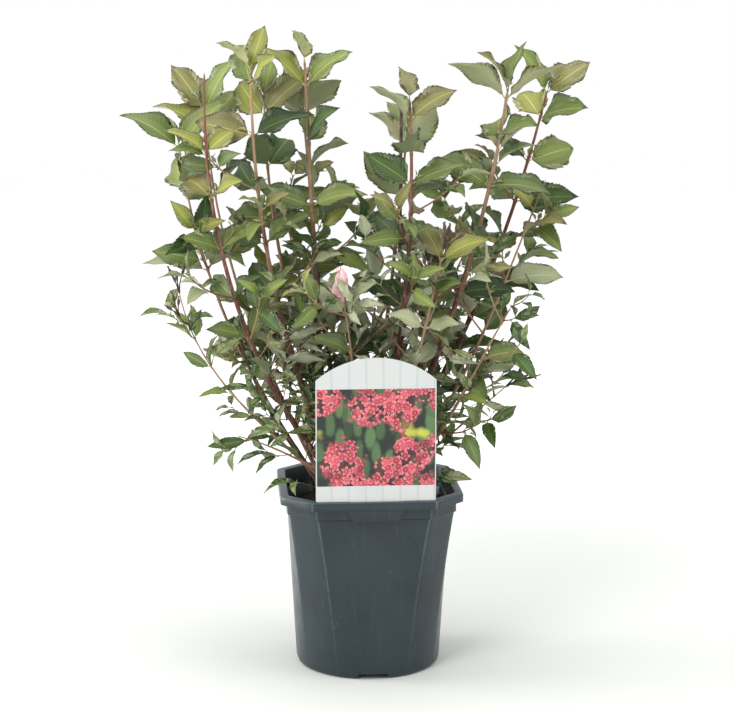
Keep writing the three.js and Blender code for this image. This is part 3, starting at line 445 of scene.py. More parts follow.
def bear_pair(room, cane, stem_name, joint, shape, keys_of, sides=(0, 1)):
    """Grows a joint's leaves, one to a side, where there is room for them."""
    for side in sides:
        angle = joint.aim + (joint.pair + 2 * side) % 4 * QUARTER
        leaf = place_leaf(room, cane, stem_name, joint.stem, angle, shape, keys_of(side))
        if leaf:
            joint.leaves.append(leaf)


def grow_pairs(room, cane, index):
    """Leaf pairs down the cane from its tip, each pair a quarter turn from the last."""
    total = cane.path.length
    length = total - cane.bare_tip
    pair = 0
    while length > cane.bare_foot * total + JOINT * 4:
        aim = math.radians(cane.turn + sway(PAIR["stray"], index, pair, 9))
        joint = SimpleNamespace(length=length, aim=aim, stem=cane.path.at(length), pair=pair, leaves=[],
                                twig=None)
        cane.joints.append(joint)
        grown = min(1, cane.young + PAIR["growing"] * pair)
        old = clamp((OLD_LEAVES["below"] - length / total) / OLD_LEAVES["over"])
        opened = cane.open * min(1, cane.gape + PAIR["opening"] * pair)
        shape = SimpleNamespace(length=cane.leaf * grown * (1 - OLD_LEAVES["smaller"] * old),
                                open=opened * (1 - OLD_LEAVES["closer"] * old),
                                droop=cane.droop * min(1, pair / PAIR["sagging"]),
                                wide=cane.wide * (1 - OLD_LEAVES["narrower"] * old))
        kept = [side for side in (0, 1) if chance(index, pair, side, 11) >= cane.loss]
        bear_pair(room, cane, cane.name, joint, shape, lambda side: (index, joint.pair, side), kept)
        gap = cane.internode * min(1, cane.closest + PAIR["parting"] * pair)
        length -= gap * near_one(PAIR["uneven"], index, pair, 10)
        pair += 1


def twig_path(stem, angle, length):
    """A twig leaves its stem slanting out and turns up towards its tip."""
    place, way = stem
    out = unit(way * TWIG["hug"] + around(way, angle) * TWIG["out"])
    rise = unit(out + UP * TWIG["rise"])
    elbow = place + out * length * TWIG["elbow"]
    tip = elbow + rise * length * TWIG["upturn"]
    return bezier(place, place + out * length * TWIG["hold"], elbow, tip, 12)


def is_off_others(room, cane, shell):
    """Whether a twig's shell crosses nothing but the cane it grows from."""
    return room.is_free(shell, room.near(shell), lambda _, name: name != cane.name)


def grow_twigs(room, cane, index):
    """Side twigs from the lower joints; each turns until it finds room, and bears smaller leaves."""
    joints = [joint for joint in cane.joints if joint.pair >= cane.twigs_from][:cane.twigs]
    for order, joint in enumerate(joints):
        first = joint.pair + 2 * math.floor(chance(index, joint.pair, 12) * 2)
        length = cane.twig * spread(TWIG["shortest"], TWIG["longest"], index, order, 21)
        for turn, share in TWIG_TRIES:
            face = (first + turn) % 4
            path = twig_path(joint.stem, joint.aim + face * QUARTER, length * share)
            shells = stem_shells(path, TESTED_FROM["cane"], 3, lambda _: TWIG["radius"])
            if all(is_open_air(shell) and is_off_others(room, cane, shell) for shell in shells):
                name = f"twig {order} of {cane.name}"
                for shell in shells:
                    room.take(shell, cane.name, name)
                joint.twig = SimpleNamespace(face=face, path=path, name=name,
                                             joints=twig_pairs(room, cane, path, name, index, order))
                break


def twig_pairs(room, cane, path, name, index, order):
    joints = []
    length = path.length
    pair = 0
    while length > path.length * TWIG["bare"]:
        aim = math.radians(sway(TWIG["stray"], index, order, pair, 22))
        joint = SimpleNamespace(length=length, aim=aim, stem=path.at(length), pair=pair, leaves=[])
        joints.append(joint)
        parted = min(1, TWIG["closest"] + PAIR["parting"] * pair)
        grown = min(1, TWIG["young"] + TWIG["growing"] * pair)
        shape = SimpleNamespace(length=cane.leaf * TWIG["leaf"] * grown, open=TWIG["open"] * parted,
                                droop=TWIG["droop"], wide=TWIG["wide"])
        bear_pair(room, cane, name, joint, shape, lambda side: (index, 50 + order, joint.pair * 2 + side))
        length -= TWIG["internode"] * parted
        pair += 1
    return joints


def stalk_paths(cane, index):
    """Thin dry fruit stalks that fan out of a cane's tip."""
    place, way = cane.path.at(cane.path.length - STALK["sunk"])
    paths = []
    for i in range(STALK["count"]):
        side = around(way, i * 2 * math.pi / STALK["count"] + sway(STALK["stray"], index, i, 31))
        reach = spread(STALK["short"], STALK["long"], index, i, 32)
        out = unit(way + side * spread(STALK["narrow"], STALK["broad"], index, i, 33))
        tip = place + out * reach
        low, high = place + way * reach * STALK["hold"], tip - out * reach * STALK["hold"]
        paths.append(bezier(place, low, high, tip, 8))
    return paths


def bloom_paths(cane, _):
    place, way = cane.path.at(cane.path.length - BLOOM["sunk"])
    tip = place + way * BLOOM["length"]
    return [bezier(place, lerp(place, tip, 1 / 3), lerp(place, tip, 2 / 3), tip, 3)]


TOPS = dict(leaves=(lambda *_: [], 0), stalks=(stalk_paths, STALK["radius"]),
            bloom=(bloom_paths, BLOOM["radius"]))


def grow_plant():
    room = Room()
    canes = [SimpleNamespace(**row, joints=[]) for row in CANES]
    seat_feet(canes)
    for index, cane in enumerate(canes):
        cane.path = cane_path(cane)
        paths, radius = TOPS[cane.top]
        cane.top_paths = paths(cane, index)
        count = round(cane.path.length / SHELL_STEP)
        shells = stem_shells(cane.path, 0, count, lambda length: stem_radius(cane, length))
        for path in cane.top_paths:
            shells += stem_shells(path, TESTED_FROM["cane"], 2, lambda _: radius)
        for shell in shells:
            room.take(shell, cane.name, cane.name)
    for index, cane in enumerate(canes):
        grow_pairs(room, cane, index)
        grow_twigs(room, cane, index)
    return canes, room

# ---------- finer growth: short shoots in the axils, buds, and what ends each tip ----------
FINE = dict(clear=0.35, tries=RETRIES[:3])
SHOOT = dict(low=470, old_pair=4, grows=0.7, short=9, long=36, radius=0.7, leaf_least=17, leaf_most=37,
             wide=0.36, open=42, droop=0.12)
SECOND_PAIR = dict(over=16, at=0.55)  # a shoot over this length has one more pair, at this share of it
SHOOT_STRAY = 0.5
AXIL = 0.7  # how far over its joint a shoot starts, in joint heights
FOOT_SHOOT = dict(short=18, long=46, radius=0.65, leaf_least=18, leaf_most=38, wide=0.27, open=36,
                  droop=0.15)
FOOT_GROWTH = dict(start=0.05, end=0.38, step=9, grows=0.7)
# How much of the finer growth the open outer canes bear, and the share of their leaves that has dropped.
SPARSE = dict(right_low=0.3, right_lowest=0.2, right_front=0.45, right_thin=0.45, right_outer=0.6,
              right_tall=0.75, left_low=0.5, left_arching=0.4, left_outer=0.5, left_back=0.8)
THINNED = dict(left_arching=0.5, right_lowest=0.65, right_low=0.55, right_thin=0.35)
BUD = dict(grows=0.7, short=3, long=5, radius=0.7, leaf_least=6, leaf_most=13, wide=0.36, open=26,
           droop=0.0)
DEAD_CANES = (
    dict(side="middle", bearing=5, reach=44, height=586, splay=10, lean=1, thick=6.4, foot=(22, 6)),
    dict(side="left", bearing=-170, reach=128, height=352, splay=40, lean=14, thick=3.8, foot=(-30, -10)),
)
DRY_FORKS = (  # the cane that each stands on, how far up, and its aim
    ("middle_right", 0.52, -0.3), ("middle_right", 0.44, 0.4), ("left_tall", 0.6, -2.6),
    ("right_tall", 0.5, 0.2), ("back_right_tall", 0.62, 1.2), ("right_low", 0.7, 0.6),
    ("right_front", 0.96, -1.5), ("right_front", 0.84, -2.2), ("left_low", 0.86, -1.9),
    ("front_low", 0.7, -0.4),
)
FORK = dict(stem=26, radius=0.8)
RIM_SPRAYS = (  # shoots that lie out over the pot's rim; each leaf has a bearing and a length
    dict(cane="left_arching", key=411, start=(-26, -34, 176), end=(-76, -62, 209),
         leaves=((-168, 38), (-105, 30), (140, 30))),
    dict(cane="right_lowest", key=410, start=(22, -26, 176), end=(66, -56, 212),
         leaves=((-18, 40), (-70, 30), (35, 34))),
)
RIM_LEAF = dict(open=82, droop=0.1, wide=0.32, radius=0.8)
RIM_ARCH = ((0.3, 8), (0.75, 4))  # how far along such a shoot it is drawn up, and by how much
TIP_BUDS = ((1.0, 0.42, 0.34, 15), (1.6, 0.2, 0.3, 8))  # rise over the tip, share of a leaf, width, opening
TIP_SIZE = 0.2  # how much those leaves differ in size
BUD_LEAF = 14  # a shorter leaf has a young leaf's colour


def fine_leaf(room, cane, stem, angle, length, shape, keys, sprig):
    """A small leaf, tested as the large ones are but closer to its neighbours."""
    wanted = SimpleNamespace(length=length, open=shape["open"], droop=shape["droop"], wide=shape["wide"])
    leaf = place_leaf(room, cane, sprig, stem, angle, wanted, keys, FINE["clear"], FINE["tries"])
    if leaf:
        cane.small_leaves.append(leaf)
    return leaf


def grow_shoot(room, cane, joint, face, shape, keys):
    """A short shoot in a leaf's axil, with a leaf pair at its tip and another halfway if it is long."""
    place, way = joint.stem
    length = spread(shape["short"], shape["long"], *keys, 62)
    path = twig_path((place + way * JOINT * AXIL, way), joint.aim + face * QUARTER, length)
    name = f"shoot {keys}"
    heights = [path.length]
    if length > SECOND_PAIR["over"]:
        heights.append(path.length * SECOND_PAIR["at"])
    borne = 0
    for pair, height in enumerate(heights):
        size = spread(shape["leaf_least"], shape["leaf_most"], *keys, pair, 63)
        for side in (0, 1):
            aim = (pair + 2 * side) * QUARTER + sway(SHOOT_STRAY, *keys, pair, 64)
            leaf = fine_leaf(room, cane, path.at(height), aim, size, shape, (*keys, pair, side), name)
            borne += leaf is not None
    if borne:
        cane.shoots.append(SimpleNamespace(path=path, radius=shape["radius"]))


def grow_shoots(room, cane, index):
    for joint in cane.joints:
        is_low = joint.stem[0][2] < SHOOT["low"] or joint.pair >= SHOOT["old_pair"]
        shape = SHOOT if is_low else BUD
        for side in (0, 1):
            face = (joint.pair + 2 * side) % 4
            keys = (index, joint.pair, side)
            taken = joint.twig is not None and joint.twig.face == face
            if not taken and chance(*keys, 61) < shape["grows"] * SPARSE.get(cane.name, 1):
                grow_shoot(room, cane, joint, face, shape, (*keys, 70))
        if joint.twig:
            for order, twig_joint in enumerate(joint.twig.joints[1:]):
                for side in (0, 1):
                    keys = (index, joint.pair, order, side)
                    if chance(*keys, 65) < BUD["grows"]:
                        face = (twig_joint.pair + 2 * side) % 4
                        grow_shoot(room, cane, twig_joint, face, BUD, (*keys, 71))


def grow_foot_shoots(room, cane, index):
    """Thin shoots with narrow leaves all along a cane's lower part, between its leaf pairs."""
    total = cane.path.length
    count = round(total * (FOOT_GROWTH["end"] - FOOT_GROWTH["start"]) / FOOT_GROWTH["step"])
    for order in range(count):
        keys = (index, 300 + order, 1)
        if chance(*keys, 67) > FOOT_GROWTH["grows"] * SPARSE.get(cane.name, 1):
            continue
        length = total * lerp(FOOT_GROWTH["start"], FOOT_GROWTH["end"], (order + 0.5) / count)
        node = SimpleNamespace(stem=cane.path.at(length), aim=spread(0, 2 * math.pi, *keys, 68))
        grow_shoot(room, cane, node, 0, FOOT_SHOOT, (*keys, 72))


def dry_fork(cane, share, aim, key):
    """A dead twig from a cane's side that ends in dry fruit stalks."""
    twig = twig_path(cane.path.at(cane.path.length * share), aim, FORK["stem"])
    return twig, stalk_paths(SimpleNamespace(path=twig), key)


def grow_rim_sprays(room, cane, index):
    for spray in (spray for spray in RIM_SPRAYS if spray["cane"] == cane.name):
        start, end = np.array(spray["start"], float), np.array(spray["end"], float)
        low, high = [lerp(start, end, share) + UP * rise for share, rise in RIM_ARCH]
        path = bezier(start, low, high, end, 10)
        cane.shoots.append(SimpleNamespace(path=path, radius=RIM_LEAF["radius"]))
        for order, (bearing, length) in enumerate(spray["leaves"]):
            keys = (index, spray["key"], order)
            fine_leaf(room, cane, (end, UP), math.radians(bearing), length, RIM_LEAF, keys, "rim spray")


def end_tips(room, cane, index):
    """Folded young leaves over the last pair of each cane and twig."""
    ends = [(joint.twig.path, cane.leaf * TWIG["leaf"], 80 + joint.pair)
            for joint in cane.joints if joint.twig]
    if cane.top == "leaves" and not cane.bare_tip:
        ends.append((cane.path, cane.leaf, 79))
    for path, size, key in ends:
        place, way = path.at(path.length)
        for pair, (rise, share, wide, opening) in enumerate(TIP_BUDS):
            shape = dict(open=opening, droop=0, wide=wide)
            for side in (0, 1):
                aim = math.radians(cane.turn) + (pair + 1 + 2 * side) * QUARTER
                keys = (index, key, pair, side)
                length = size * share * near_one(TIP_SIZE, *keys, 66)
                fine_leaf(room, cane, (place + way * rise, way), aim, length, shape, keys, f"tip {key}")


def grow_finer(canes, room):
    for index, cane in enumerate(canes):
        cane.small_leaves, cane.shoots = [], []
        end_tips(room, cane, index)
        grow_rim_sprays(room, cane, index)
        grow_shoots(room, cane, index)
        grow_foot_shoots(room, cane, index)

# ---------- gathering meshes ----------
class Stock:
    """Corners and faces of one kind of thing, gathered to be made into one piece."""

    def __init__(self):
        self.points = []
        self.faces = {3: [], 4: []}
        self.tones = {3: [], 4: []}
        self.count = 0

    def add(self, points, nets):
        """`nets` holds pairs of an array of faces, by corner number, and the material of each."""
        self.points.append(np.asarray(points, float))
        for faces, tones in nets:
            sides = faces.shape[1]
            self.faces[sides].append(faces + self.count)
            self.tones[sides].append(tones)
        self.count += len(points)

    def add_plain(self, points, *nets):
        """Adds nets of faces that all have the first material."""
        self.add(points, [(np.array(faces), np.zeros(len(faces), int)) for faces in nets])

    def mesh(self, name):
        mesh = bpy.data.meshes.new(name)
        points = np.concatenate(self.points) * MM
        sizes = [sides for sides in (3, 4) if self.faces[sides]]
        corners = np.concatenate([np.concatenate(self.faces[sides]).ravel() for sides in sizes])
        counts = np.concatenate([np.full(sum(map(len, self.faces[sides])), sides) for sides in sizes])
        tones = np.concatenate([np.concatenate(self.tones[sides]) for sides in sizes])
        mesh.vertices.add(len(points))
        mesh.vertices.foreach_set("co", points.ravel())
        mesh.loops.add(len(corners))
        mesh.loops.foreach_set("vertex_index", corners.astype(np.int32))
        mesh.polygons.add(len(counts))
        mesh.polygons.foreach_set("loop_start", (np.cumsum(counts) - counts).astype(np.int32))
        mesh.polygons.foreach_set("material_index", tones.astype(np.int32))
        mesh.polygons.foreach_set("use_smooth", np.ones(len(counts), bool))
        mesh.update(calc_edges=True)
        return mesh


def set_in_scene(name, data, materials=()):
    piece = bpy.data.objects.new(name, data)
    bpy.context.collection.objects.link(piece)
    for material in materials:
        data.materials.append(material)
    return piece


def solid_of(name, points, faces, materials=()):
    """A piece of a few faces, told by its corners in millimetres."""
    mesh = bpy.data.meshes.new(name)
    mesh.from_pydata([[part * MM for part in point] for point in points], [], faces)
    return set_in_scene(name, mesh, materials)


def ring_quads(low, high, count):
    """The faces between two closed rings of corners, from the numbers of the rings' first corners."""
    return [[low + i, low + j, high + j, high + i] for i, j in enumerate([*range(1, count), 0])]


def ease_edges(piece, width, segments, **settings):
    """Rounds a piece's edges off."""
    ease = piece.modifiers.new("ease", "BEVEL")
    ease.width = width * MM
    ease.segments = segments
    for name, value in settings.items():
        setattr(ease, name, value)
    return as_plain_mesh(piece)


def as_plain_mesh(piece):
    """Turns what a piece's modifiers make into its own mesh, and takes them off."""
    depsgraph = bpy.context.evaluated_depsgraph_get()
    made = bpy.data.meshes.new_from_object(piece.evaluated_get(depsgraph), depsgraph=depsgraph)
    name = piece.name
    bpy.data.objects.remove(piece)
    made.name = name
    return set_in_scene(name, made)


def finish_piece(piece, nodes=()):
    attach(piece, "root")
    if nodes:
        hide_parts(*nodes)


# ---------- leaf blades ----------
TIP_POWER, ROOT_POWER = 1.22, 0.75
WIDEST = ROOT_POWER / (ROOT_POWER + TIP_POWER)
FULLNESS = WIDEST ** ROOT_POWER * (1 - WIDEST) ** TIP_POWER
RIB = 0.03
LARGE = dict(top=(-1, -0.84, -0.42, -RIB, RIB, 0.42, 0.84, 1), under=(-0.5, 0, 0.5), tooth_gap=3.9,
             teeth=(6, 16), thick=0.42, keel=0.55,
             zones=("margin", "blade", "inner", "rib", "inner", "blade", "margin"))
SMALL = dict(top=(-1, -0.5, 0, 0.5, 1), under=(0,), tooth_gap=3.6, teeth=(3, 7), thick=0.34, keel=0.3,
             zones=("blade", "inner", "inner", "blade"))
TOOTH = dict(steep=0.24, out=0.042, in_=0.042, uneven=0.8, forward=0.014)
VEIN = dict(slant=0.75, curve=1.3)
QUILT = dict(deep=0.48, between=0.6, curve=0.7)
WAVE = 0.24
WAVE_RATE = (9, 5)
FOLD = dict(blade=0.3, narrow=0.45, stray=0.14, curve=1.25)
KEEL_FADE = 0.8
TWIST = dict(most=0.7, start=0.2)
BEND_ASIDE = 0.16
GROOVE = 0.2
LAST_ROW = 0.998  # no row lies past this share of the blade
NARROW = dict(under=0.5, over=0.22)  # width for its length from which a blade folds more, and how fast
BLADE_SIZE = 60  # the blade length, mm, that the thicknesses are given for
LEAF_STALK = dict(radius=0.95, sunk=0.15, thick=(1.15, 0.8, 0.42), start=-0.6, middle=0.6, end=0.05)
ZONES = ("margin", "blade", "inner", "rib", "vein", "under")
TIP_ZONE = 0.86  # the share of a blade's rows past which it has its margin's colour


def leaf_net(teeth, cut):
    """The faces of a blade with so many teeth a side, wound to point outwards, and their zones."""
    top, under, zones = len(cut["top"]), len(cut["under"]), cut["zones"]
    wide = top + under
    rows = 2 * teeth - 1
    tip = 1 + rows * wide
    below = [0, *range(top, wide), top - 1]

    def corner(row, column):
        return 1 + row * wide + column

    quads, thirds = [], []  # pairs of a face and its zone
    for row in range(rows - 1):
        for column, zone in enumerate(zones):
            if zone in ("blade", "inner"):
                zone = "margin" if row > rows * TIP_ZONE else "vein" if row % 2 == 0 else zone
            quads.append(([corner(row, column), corner(row, column + 1),
                           corner(row + 1, column + 1), corner(row + 1, column)], zone))
        for a, b in zip(below, below[1:]):
            quads.append(([corner(row, a), corner(row + 1, a), corner(row + 1, b), corner(row, b)],
                          "under"))
    for column, zone in enumerate(zones):
        thirds.append(([0, corner(0, column + 1), corner(0, column)], zone))
        thirds.append(([corner(rows - 1, column), corner(rows - 1, column + 1), tip], "margin"))
    for a, b in zip(below, below[1:]):
        thirds.append(([0, corner(0, a), corner(0, b)], "under"))
        thirds.append(([corner(rows - 1, a), tip, corner(rows - 1, b)], "under"))
    stalk = tip + 1
    rings = ring_quads(stalk, stalk + 4, 4) + ring_quads(stalk + 4, stalk + 8, 4)
    ends = [[stalk + i for i in (3, 2, 1, 0)], [stalk + i for i in (8, 9, 10, 11)]]
    quads += [(face, "rib") for face in rings + ends]
    return [(np.array([face for face, _ in net]), np.array([ZONES.index(zone) for _, zone in net]))
            for net in (quads, thirds)]


def blade_width(t):
    return np.clip(t, 0, 1) ** ROOT_POWER * np.clip(1 - t, 0, 1) ** TIP_POWER / FULLNESS


def leaf_corners(leaf, teeth, cut):
    """The corners of a folded, curled and slightly wavy blade with a toothed margin, and of its stalk.
    Rows of corners run across the blade, to a tooth's point and to the notch over it by turns."""
    wander = [chance(*leaf.keys, 90 + i) for i in range(6)]
    half = leaf.width / 2
    size = leaf.length / BLADE_SIZE
    marks = np.arange(1, teeth + 1) / teeth
    rows = np.sort(np.concatenate([marks - TOOTH["steep"] / teeth, marks[:-1]]))[:, None]
    is_point = (np.arange(len(rows)) % 2 == 0)[:, None]
    columns = np.array(cut["top"] + cut["under"], float)[None]
    is_under = np.arange(columns.size)[None] >= len(cut["top"])
    slant = VEIN["slant"] * half / leaf.length
    edge = np.abs(columns) == 1
    t = rows + slant * np.abs(columns) ** VEIN["curve"] * blade_width(rows)
    t = np.minimum(t + edge * is_point * TOOTH["forward"], LAST_ROW)
    uneven = np.array([[chance(*leaf.keys, 200 + row, side) for side in (0, 1)]
                       for row in range(len(rows))])
    deep = 1 + TOOTH["uneven"] * (2 * np.where(columns > 0, uneven[:, 1:], uneven[:, :1]) - 1)
    tooth = 1 + np.where(is_point, TOOTH["out"], -TOOTH["in_"]) * deep
    x = columns * half * blade_width(t) * np.where(edge, tooth, 1)
    narrow = clamp((NARROW["under"] - leaf.width / leaf.length) / NARROW["over"])
    fold = FOLD["blade"] + FOLD["narrow"] * narrow + FOLD["stray"] * (wander[0] - 0.5)
    fold = fold * half * blade_width(t) * np.abs(columns) ** FOLD["curve"]
    phase = np.where(columns > 0, wander[1], wander[2]) * 2 * math.pi
    rate = WAVE_RATE[0] + WAVE_RATE[1] * wander[3]
    wave = WAVE * half * blade_width(t) * columns ** 2 * np.sin(t * rate + phase)
    quilt = np.where(is_point, -1, QUILT["between"]) * QUILT["deep"] * size
    quilt = quilt * np.sin(np.abs(columns) * math.pi) ** QUILT["curve"]
    lift = fold + wave + np.where(edge, 0, quilt)
    half_thick = cut["thick"] * size / 2
    lift += np.where(edge, 0, np.where(is_under, -half_thick, half_thick))
    lift -= np.where(is_under & (columns == 0), cut["keel"] * size * (1 - KEEL_FADE * t), 0)
    lift -= np.where(~is_under & (np.abs(columns) <= RIB), GROOVE * size, 0)
    twist = (wander[4] - 0.5) * TWIST["most"] * (t - TWIST["start"])
    tip_aside = (wander[5] - 0.5) * BEND_ASIDE * leaf.length
    sideways = x * np.cos(twist) - lift * np.sin(twist) + tip_aside * t ** 2
    upward = x * np.sin(twist) + lift * np.cos(twist)
    blade = leaf.points(t, sideways, upward)
    root = leaf.base + leaf.out * leaf.petiole
    tip = leaf.points(1, tip_aside, 0)
    return np.concatenate([[root], blade.reshape(-1, 3), [tip], leaf_stalk(leaf, size)])


def leaf_stalk(leaf, size):
    """The corners of a leaf's square stalk: three rings of four."""
    corners = []
    radius = LEAF_STALK["radius"] * math.sqrt(size)
    lengths = (LEAF_STALK["start"], leaf.petiole * LEAF_STALK["middle"],
               leaf.petiole + leaf.length * LEAF_STALK["end"])
    for along, thick in zip(lengths, LEAF_STALK["thick"]):
        for turn in FOUR:
            angle = math.pi / 4 - turn * QUARTER
            ring = leaf.across * math.cos(angle) + leaf.face * math.sin(angle)
            sunk = leaf.face * LEAF_STALK["sunk"] * size
            corners.append(leaf.base + leaf.out * along + ring * radius * thick - sunk)
    return corners


NETS = {}


def add_leaf(stock, leaf, tint, cut):
    teeth = int(clamp(round(leaf.length / cut["tooth_gap"]), *cut["teeth"]))
    key = (teeth, len(cut["zones"]))
    if key not in NETS:
        NETS[key] = leaf_net(teeth, cut)
    nets = [(faces, of_zone + tint * len(ZONES)) for faces, of_zone in NETS[key]]
    stock.add(leaf_corners(leaf, teeth, cut), nets)

# ---------- node boards ----------
def operator(operation, reflected=False):
    """A Wire method that adds a Math node; a reflected one has the value before the wire."""
    if reflected:
        return lambda wire, value: wire.math(operation, value, wire)
    return lambda wire, value: wire.math(operation, wire, value)


class Wire:
    """A node's output. Arithmetic on it adds Math nodes."""

    def __init__(self, board, socket):
        self.board, self.socket = board, socket

    def other(self, name):
        return Wire(self.board, self.socket.node.outputs[name])

    def math(self, operation, *values):
        return self.board.add("ShaderNodeMath", {"operation": operation}, dict(enumerate(values)))

    def __abs__(self):
        return self.math("ABSOLUTE", self)

    __add__ = __radd__ = operator("ADD")
    __sub__ = operator("SUBTRACT")
    __rsub__ = operator("SUBTRACT", reflected=True)
    __mul__ = __rmul__ = operator("MULTIPLY")
    __truediv__ = operator("DIVIDE")
    __rtruediv__ = operator("DIVIDE", reflected=True)
    __lt__ = operator("LESS_THAN")
    __gt__ = operator("GREATER_THAN")


class Board:
    """A tree of shader or geometry nodes."""

    def __init__(self, tree):
        self.tree = tree

    def add(self, kind, settings=None, inputs=None, out=0):
        """A node of a kind, its settings made first, then the values or wires of its inputs. Gives the
        output numbered `out`."""
        node = self.tree.nodes.new(kind)
        for name, value in (settings or {}).items():
            setattr(node, name, value)
        for name, value in (inputs or {}).items():
            socket = next((s for s in node.inputs if s.identifier == name), None) or node.inputs[name]
            if isinstance(value, Wire):
                self.tree.links.new(value.socket, socket)
            else:
                socket.default_value = value
        return None if out is None else Wire(self, node.outputs[out])

    def mix(self, share, a, b):
        """A colour between a and b."""
        return self.add("ShaderNodeMix", {"data_type": "RGBA"},
                        {"Factor_Float": share, "A_Color": a, "B_Color": b}, out=2)

    def coat(self, base, colour, where, strength=1.0):
        """Another colour over `base`, as thick as `smooth` gives for `where`."""
        return self.mix(self.smooth(*where) * strength, base, paint(*colour))

    def smooth(self, value, low, high, low_out=0.0, high_out=1.0):
        """The value carried smoothly from one range to another."""
        return self.add("ShaderNodeMapRange", {"interpolation_type": "SMOOTHSTEP"},
                        {"Value": value, "From Min": low, "From Max": high,
                         "To Min": low_out, "To Max": high_out})

    def here(self):
        """Object coordinates."""
        return self.add("ShaderNodeTexCoord", out=3)

    def place(self, stretch=(1, 1, 1)):
        return self.add("ShaderNodeMapping", {}, {"Vector": self.here(), "Scale": stretch})

    def shifted(self, place, by):
        return self.add("ShaderNodeMapping", {}, {"Vector": place, "Location": by})

    def split(self, vector):
        """A vector's X, with its other parts as the same node's other outputs."""
        return self.add("ShaderNodeSeparateXYZ", {}, {"Vector": vector})

    def vector(self, operation, *values, out=0):
        return self.add("ShaderNodeVectorMath", {"operation": operation}, dict(enumerate(values)), out)

    def kept(self, name):
        """A number that the mesh keeps under a name."""
        return self.add("ShaderNodeAttribute", {"attribute_name": name}, out=2)

    def noise(self, place, scale, detail=3.0, rough=0.55):
        return self.add("ShaderNodeTexNoise", {},
                        {"Vector": place, "Scale": scale, "Detail": detail, "Roughness": rough})

    def cells(self, place, scale, settings=None, **inputs):
        return self.add("ShaderNodeTexVoronoi", settings, {"Vector": place, "Scale": scale, **inputs})

    def bump(self, height, strength, distance):
        return self.add("ShaderNodeBump", {},
                        {"Height": height, "Strength": strength, "Distance": distance})


def paint(red, green, blue):
    """The shaders' own colour for one that is given as it reads on a screen, 0 to 255."""
    parts = [part / 255 for part in (red, green, blue)]
    return (*(((part + 0.055) / 1.055) ** 2.4 if part > 0.04 else part / 12.92 for part in parts), 1.0)


def finish(name, look=None, **constants):
    """A material. `look` is given the board and tells what changes over the surface."""
    material = bpy.data.materials.new(name)
    material.use_nodes = True
    shader = material.node_tree.nodes["Principled BSDF"]
    for socket, value in constants.items():
        shader.inputs[socket.replace("_", " ")].default_value = value
    if look:
        board = Board(material.node_tree)
        for socket, wire in look(board).items():
            board.tree.links.new(wire.socket, shader.inputs[socket.replace("_", " ")])
    return material


class GeometryBoard(Board):
    """A tree of geometry nodes with named inputs."""

    KINDS = dict(number="NodeSocketFloat", count="NodeSocketInt", material="NodeSocketMaterial",
                 thing="NodeSocketObject")

    def __init__(self, name, **wanted):
        super().__init__(bpy.data.node_groups.new(name, "GeometryNodeTree"))
        face = self.tree.interface
        face.new_socket("Geometry", in_out="INPUT", socket_type="NodeSocketGeometry")
        face.new_socket("Geometry", in_out="OUTPUT", socket_type="NodeSocketGeometry")
        for label, kind in wanted.items():
            face.new_socket(label, in_out="INPUT", socket_type=self.KINDS[kind])
        self.entry = self.add("NodeGroupInput")

    def given(self, label):
        return self.entry.other(label)

    def from_axis(self, at):
        """How far a place lies from the upright axis."""
        return self.vector("LENGTH", self.vector("MULTIPLY", at, (1, 1, 0)), out=1)

    def ridged(self, geometry, squeeze, detail):
        """The geometry with long ridges raised on its skin, by the tree's Relief and Grain."""
        at = self.add("GeometryNodeInputPosition")
        squeezed = self.vector("MULTIPLY", at, (1, 1, squeeze))
        push = (self.noise(squeezed, self.given("Grain"), detail, 0.5) - 0.5) * self.given("Relief")
        normal = self.add("GeometryNodeInputNormal")
        offset = self.add("ShaderNodeVectorMath", {"operation": "SCALE"}, {0: normal, "Scale": push})
        return self.moved(geometry, offset)

    def moved(self, geometry, offset):
        """The geometry with its points moved, and smooth."""
        done = self.add("GeometryNodeSetPosition", {}, {"Geometry": geometry, "Offset": offset})
        return self.add("GeometryNodeSetShadeSmooth", {}, {0: done, "Shade Smooth": True})

    def stored(self, geometry, name, value):
        """The geometry with a number kept at each point under a name."""
        return self.add("GeometryNodeStoreNamedAttribute", {"data_type": "FLOAT", "domain": "POINT"},
                        {"Geometry": geometry, "Name": name, "Value": value})

    def random(self, low, high, seed, **inputs):
        return self.add("FunctionNodeRandomValue", {"data_type": "FLOAT"},
                        {"Min_001": low, "Max_001": high, "Seed": seed, **inputs}, out=1)

    def close(self, geometry, material):
        real = self.add("GeometryNodeRealizeInstances", {}, {0: geometry})
        done = self.add("GeometryNodeSetMaterial", {}, {"Geometry": real, "Material": material})
        self.add("NodeGroupOutput", {}, {"Geometry": done}, out=None)
        return self.tree


def run_tree(piece, tree, **values):
    """Adds the tree to a piece, with its inputs set by their sockets' identifiers."""
    modifier = piece.modifiers.new(tree.name, "NODES")
    modifier.node_group = tree
    for item in tree.interface.items_tree:
        if item.item_type == "SOCKET" and item.in_out == "INPUT" and item.name in values:
            modifier[item.identifier] = values[item.name]

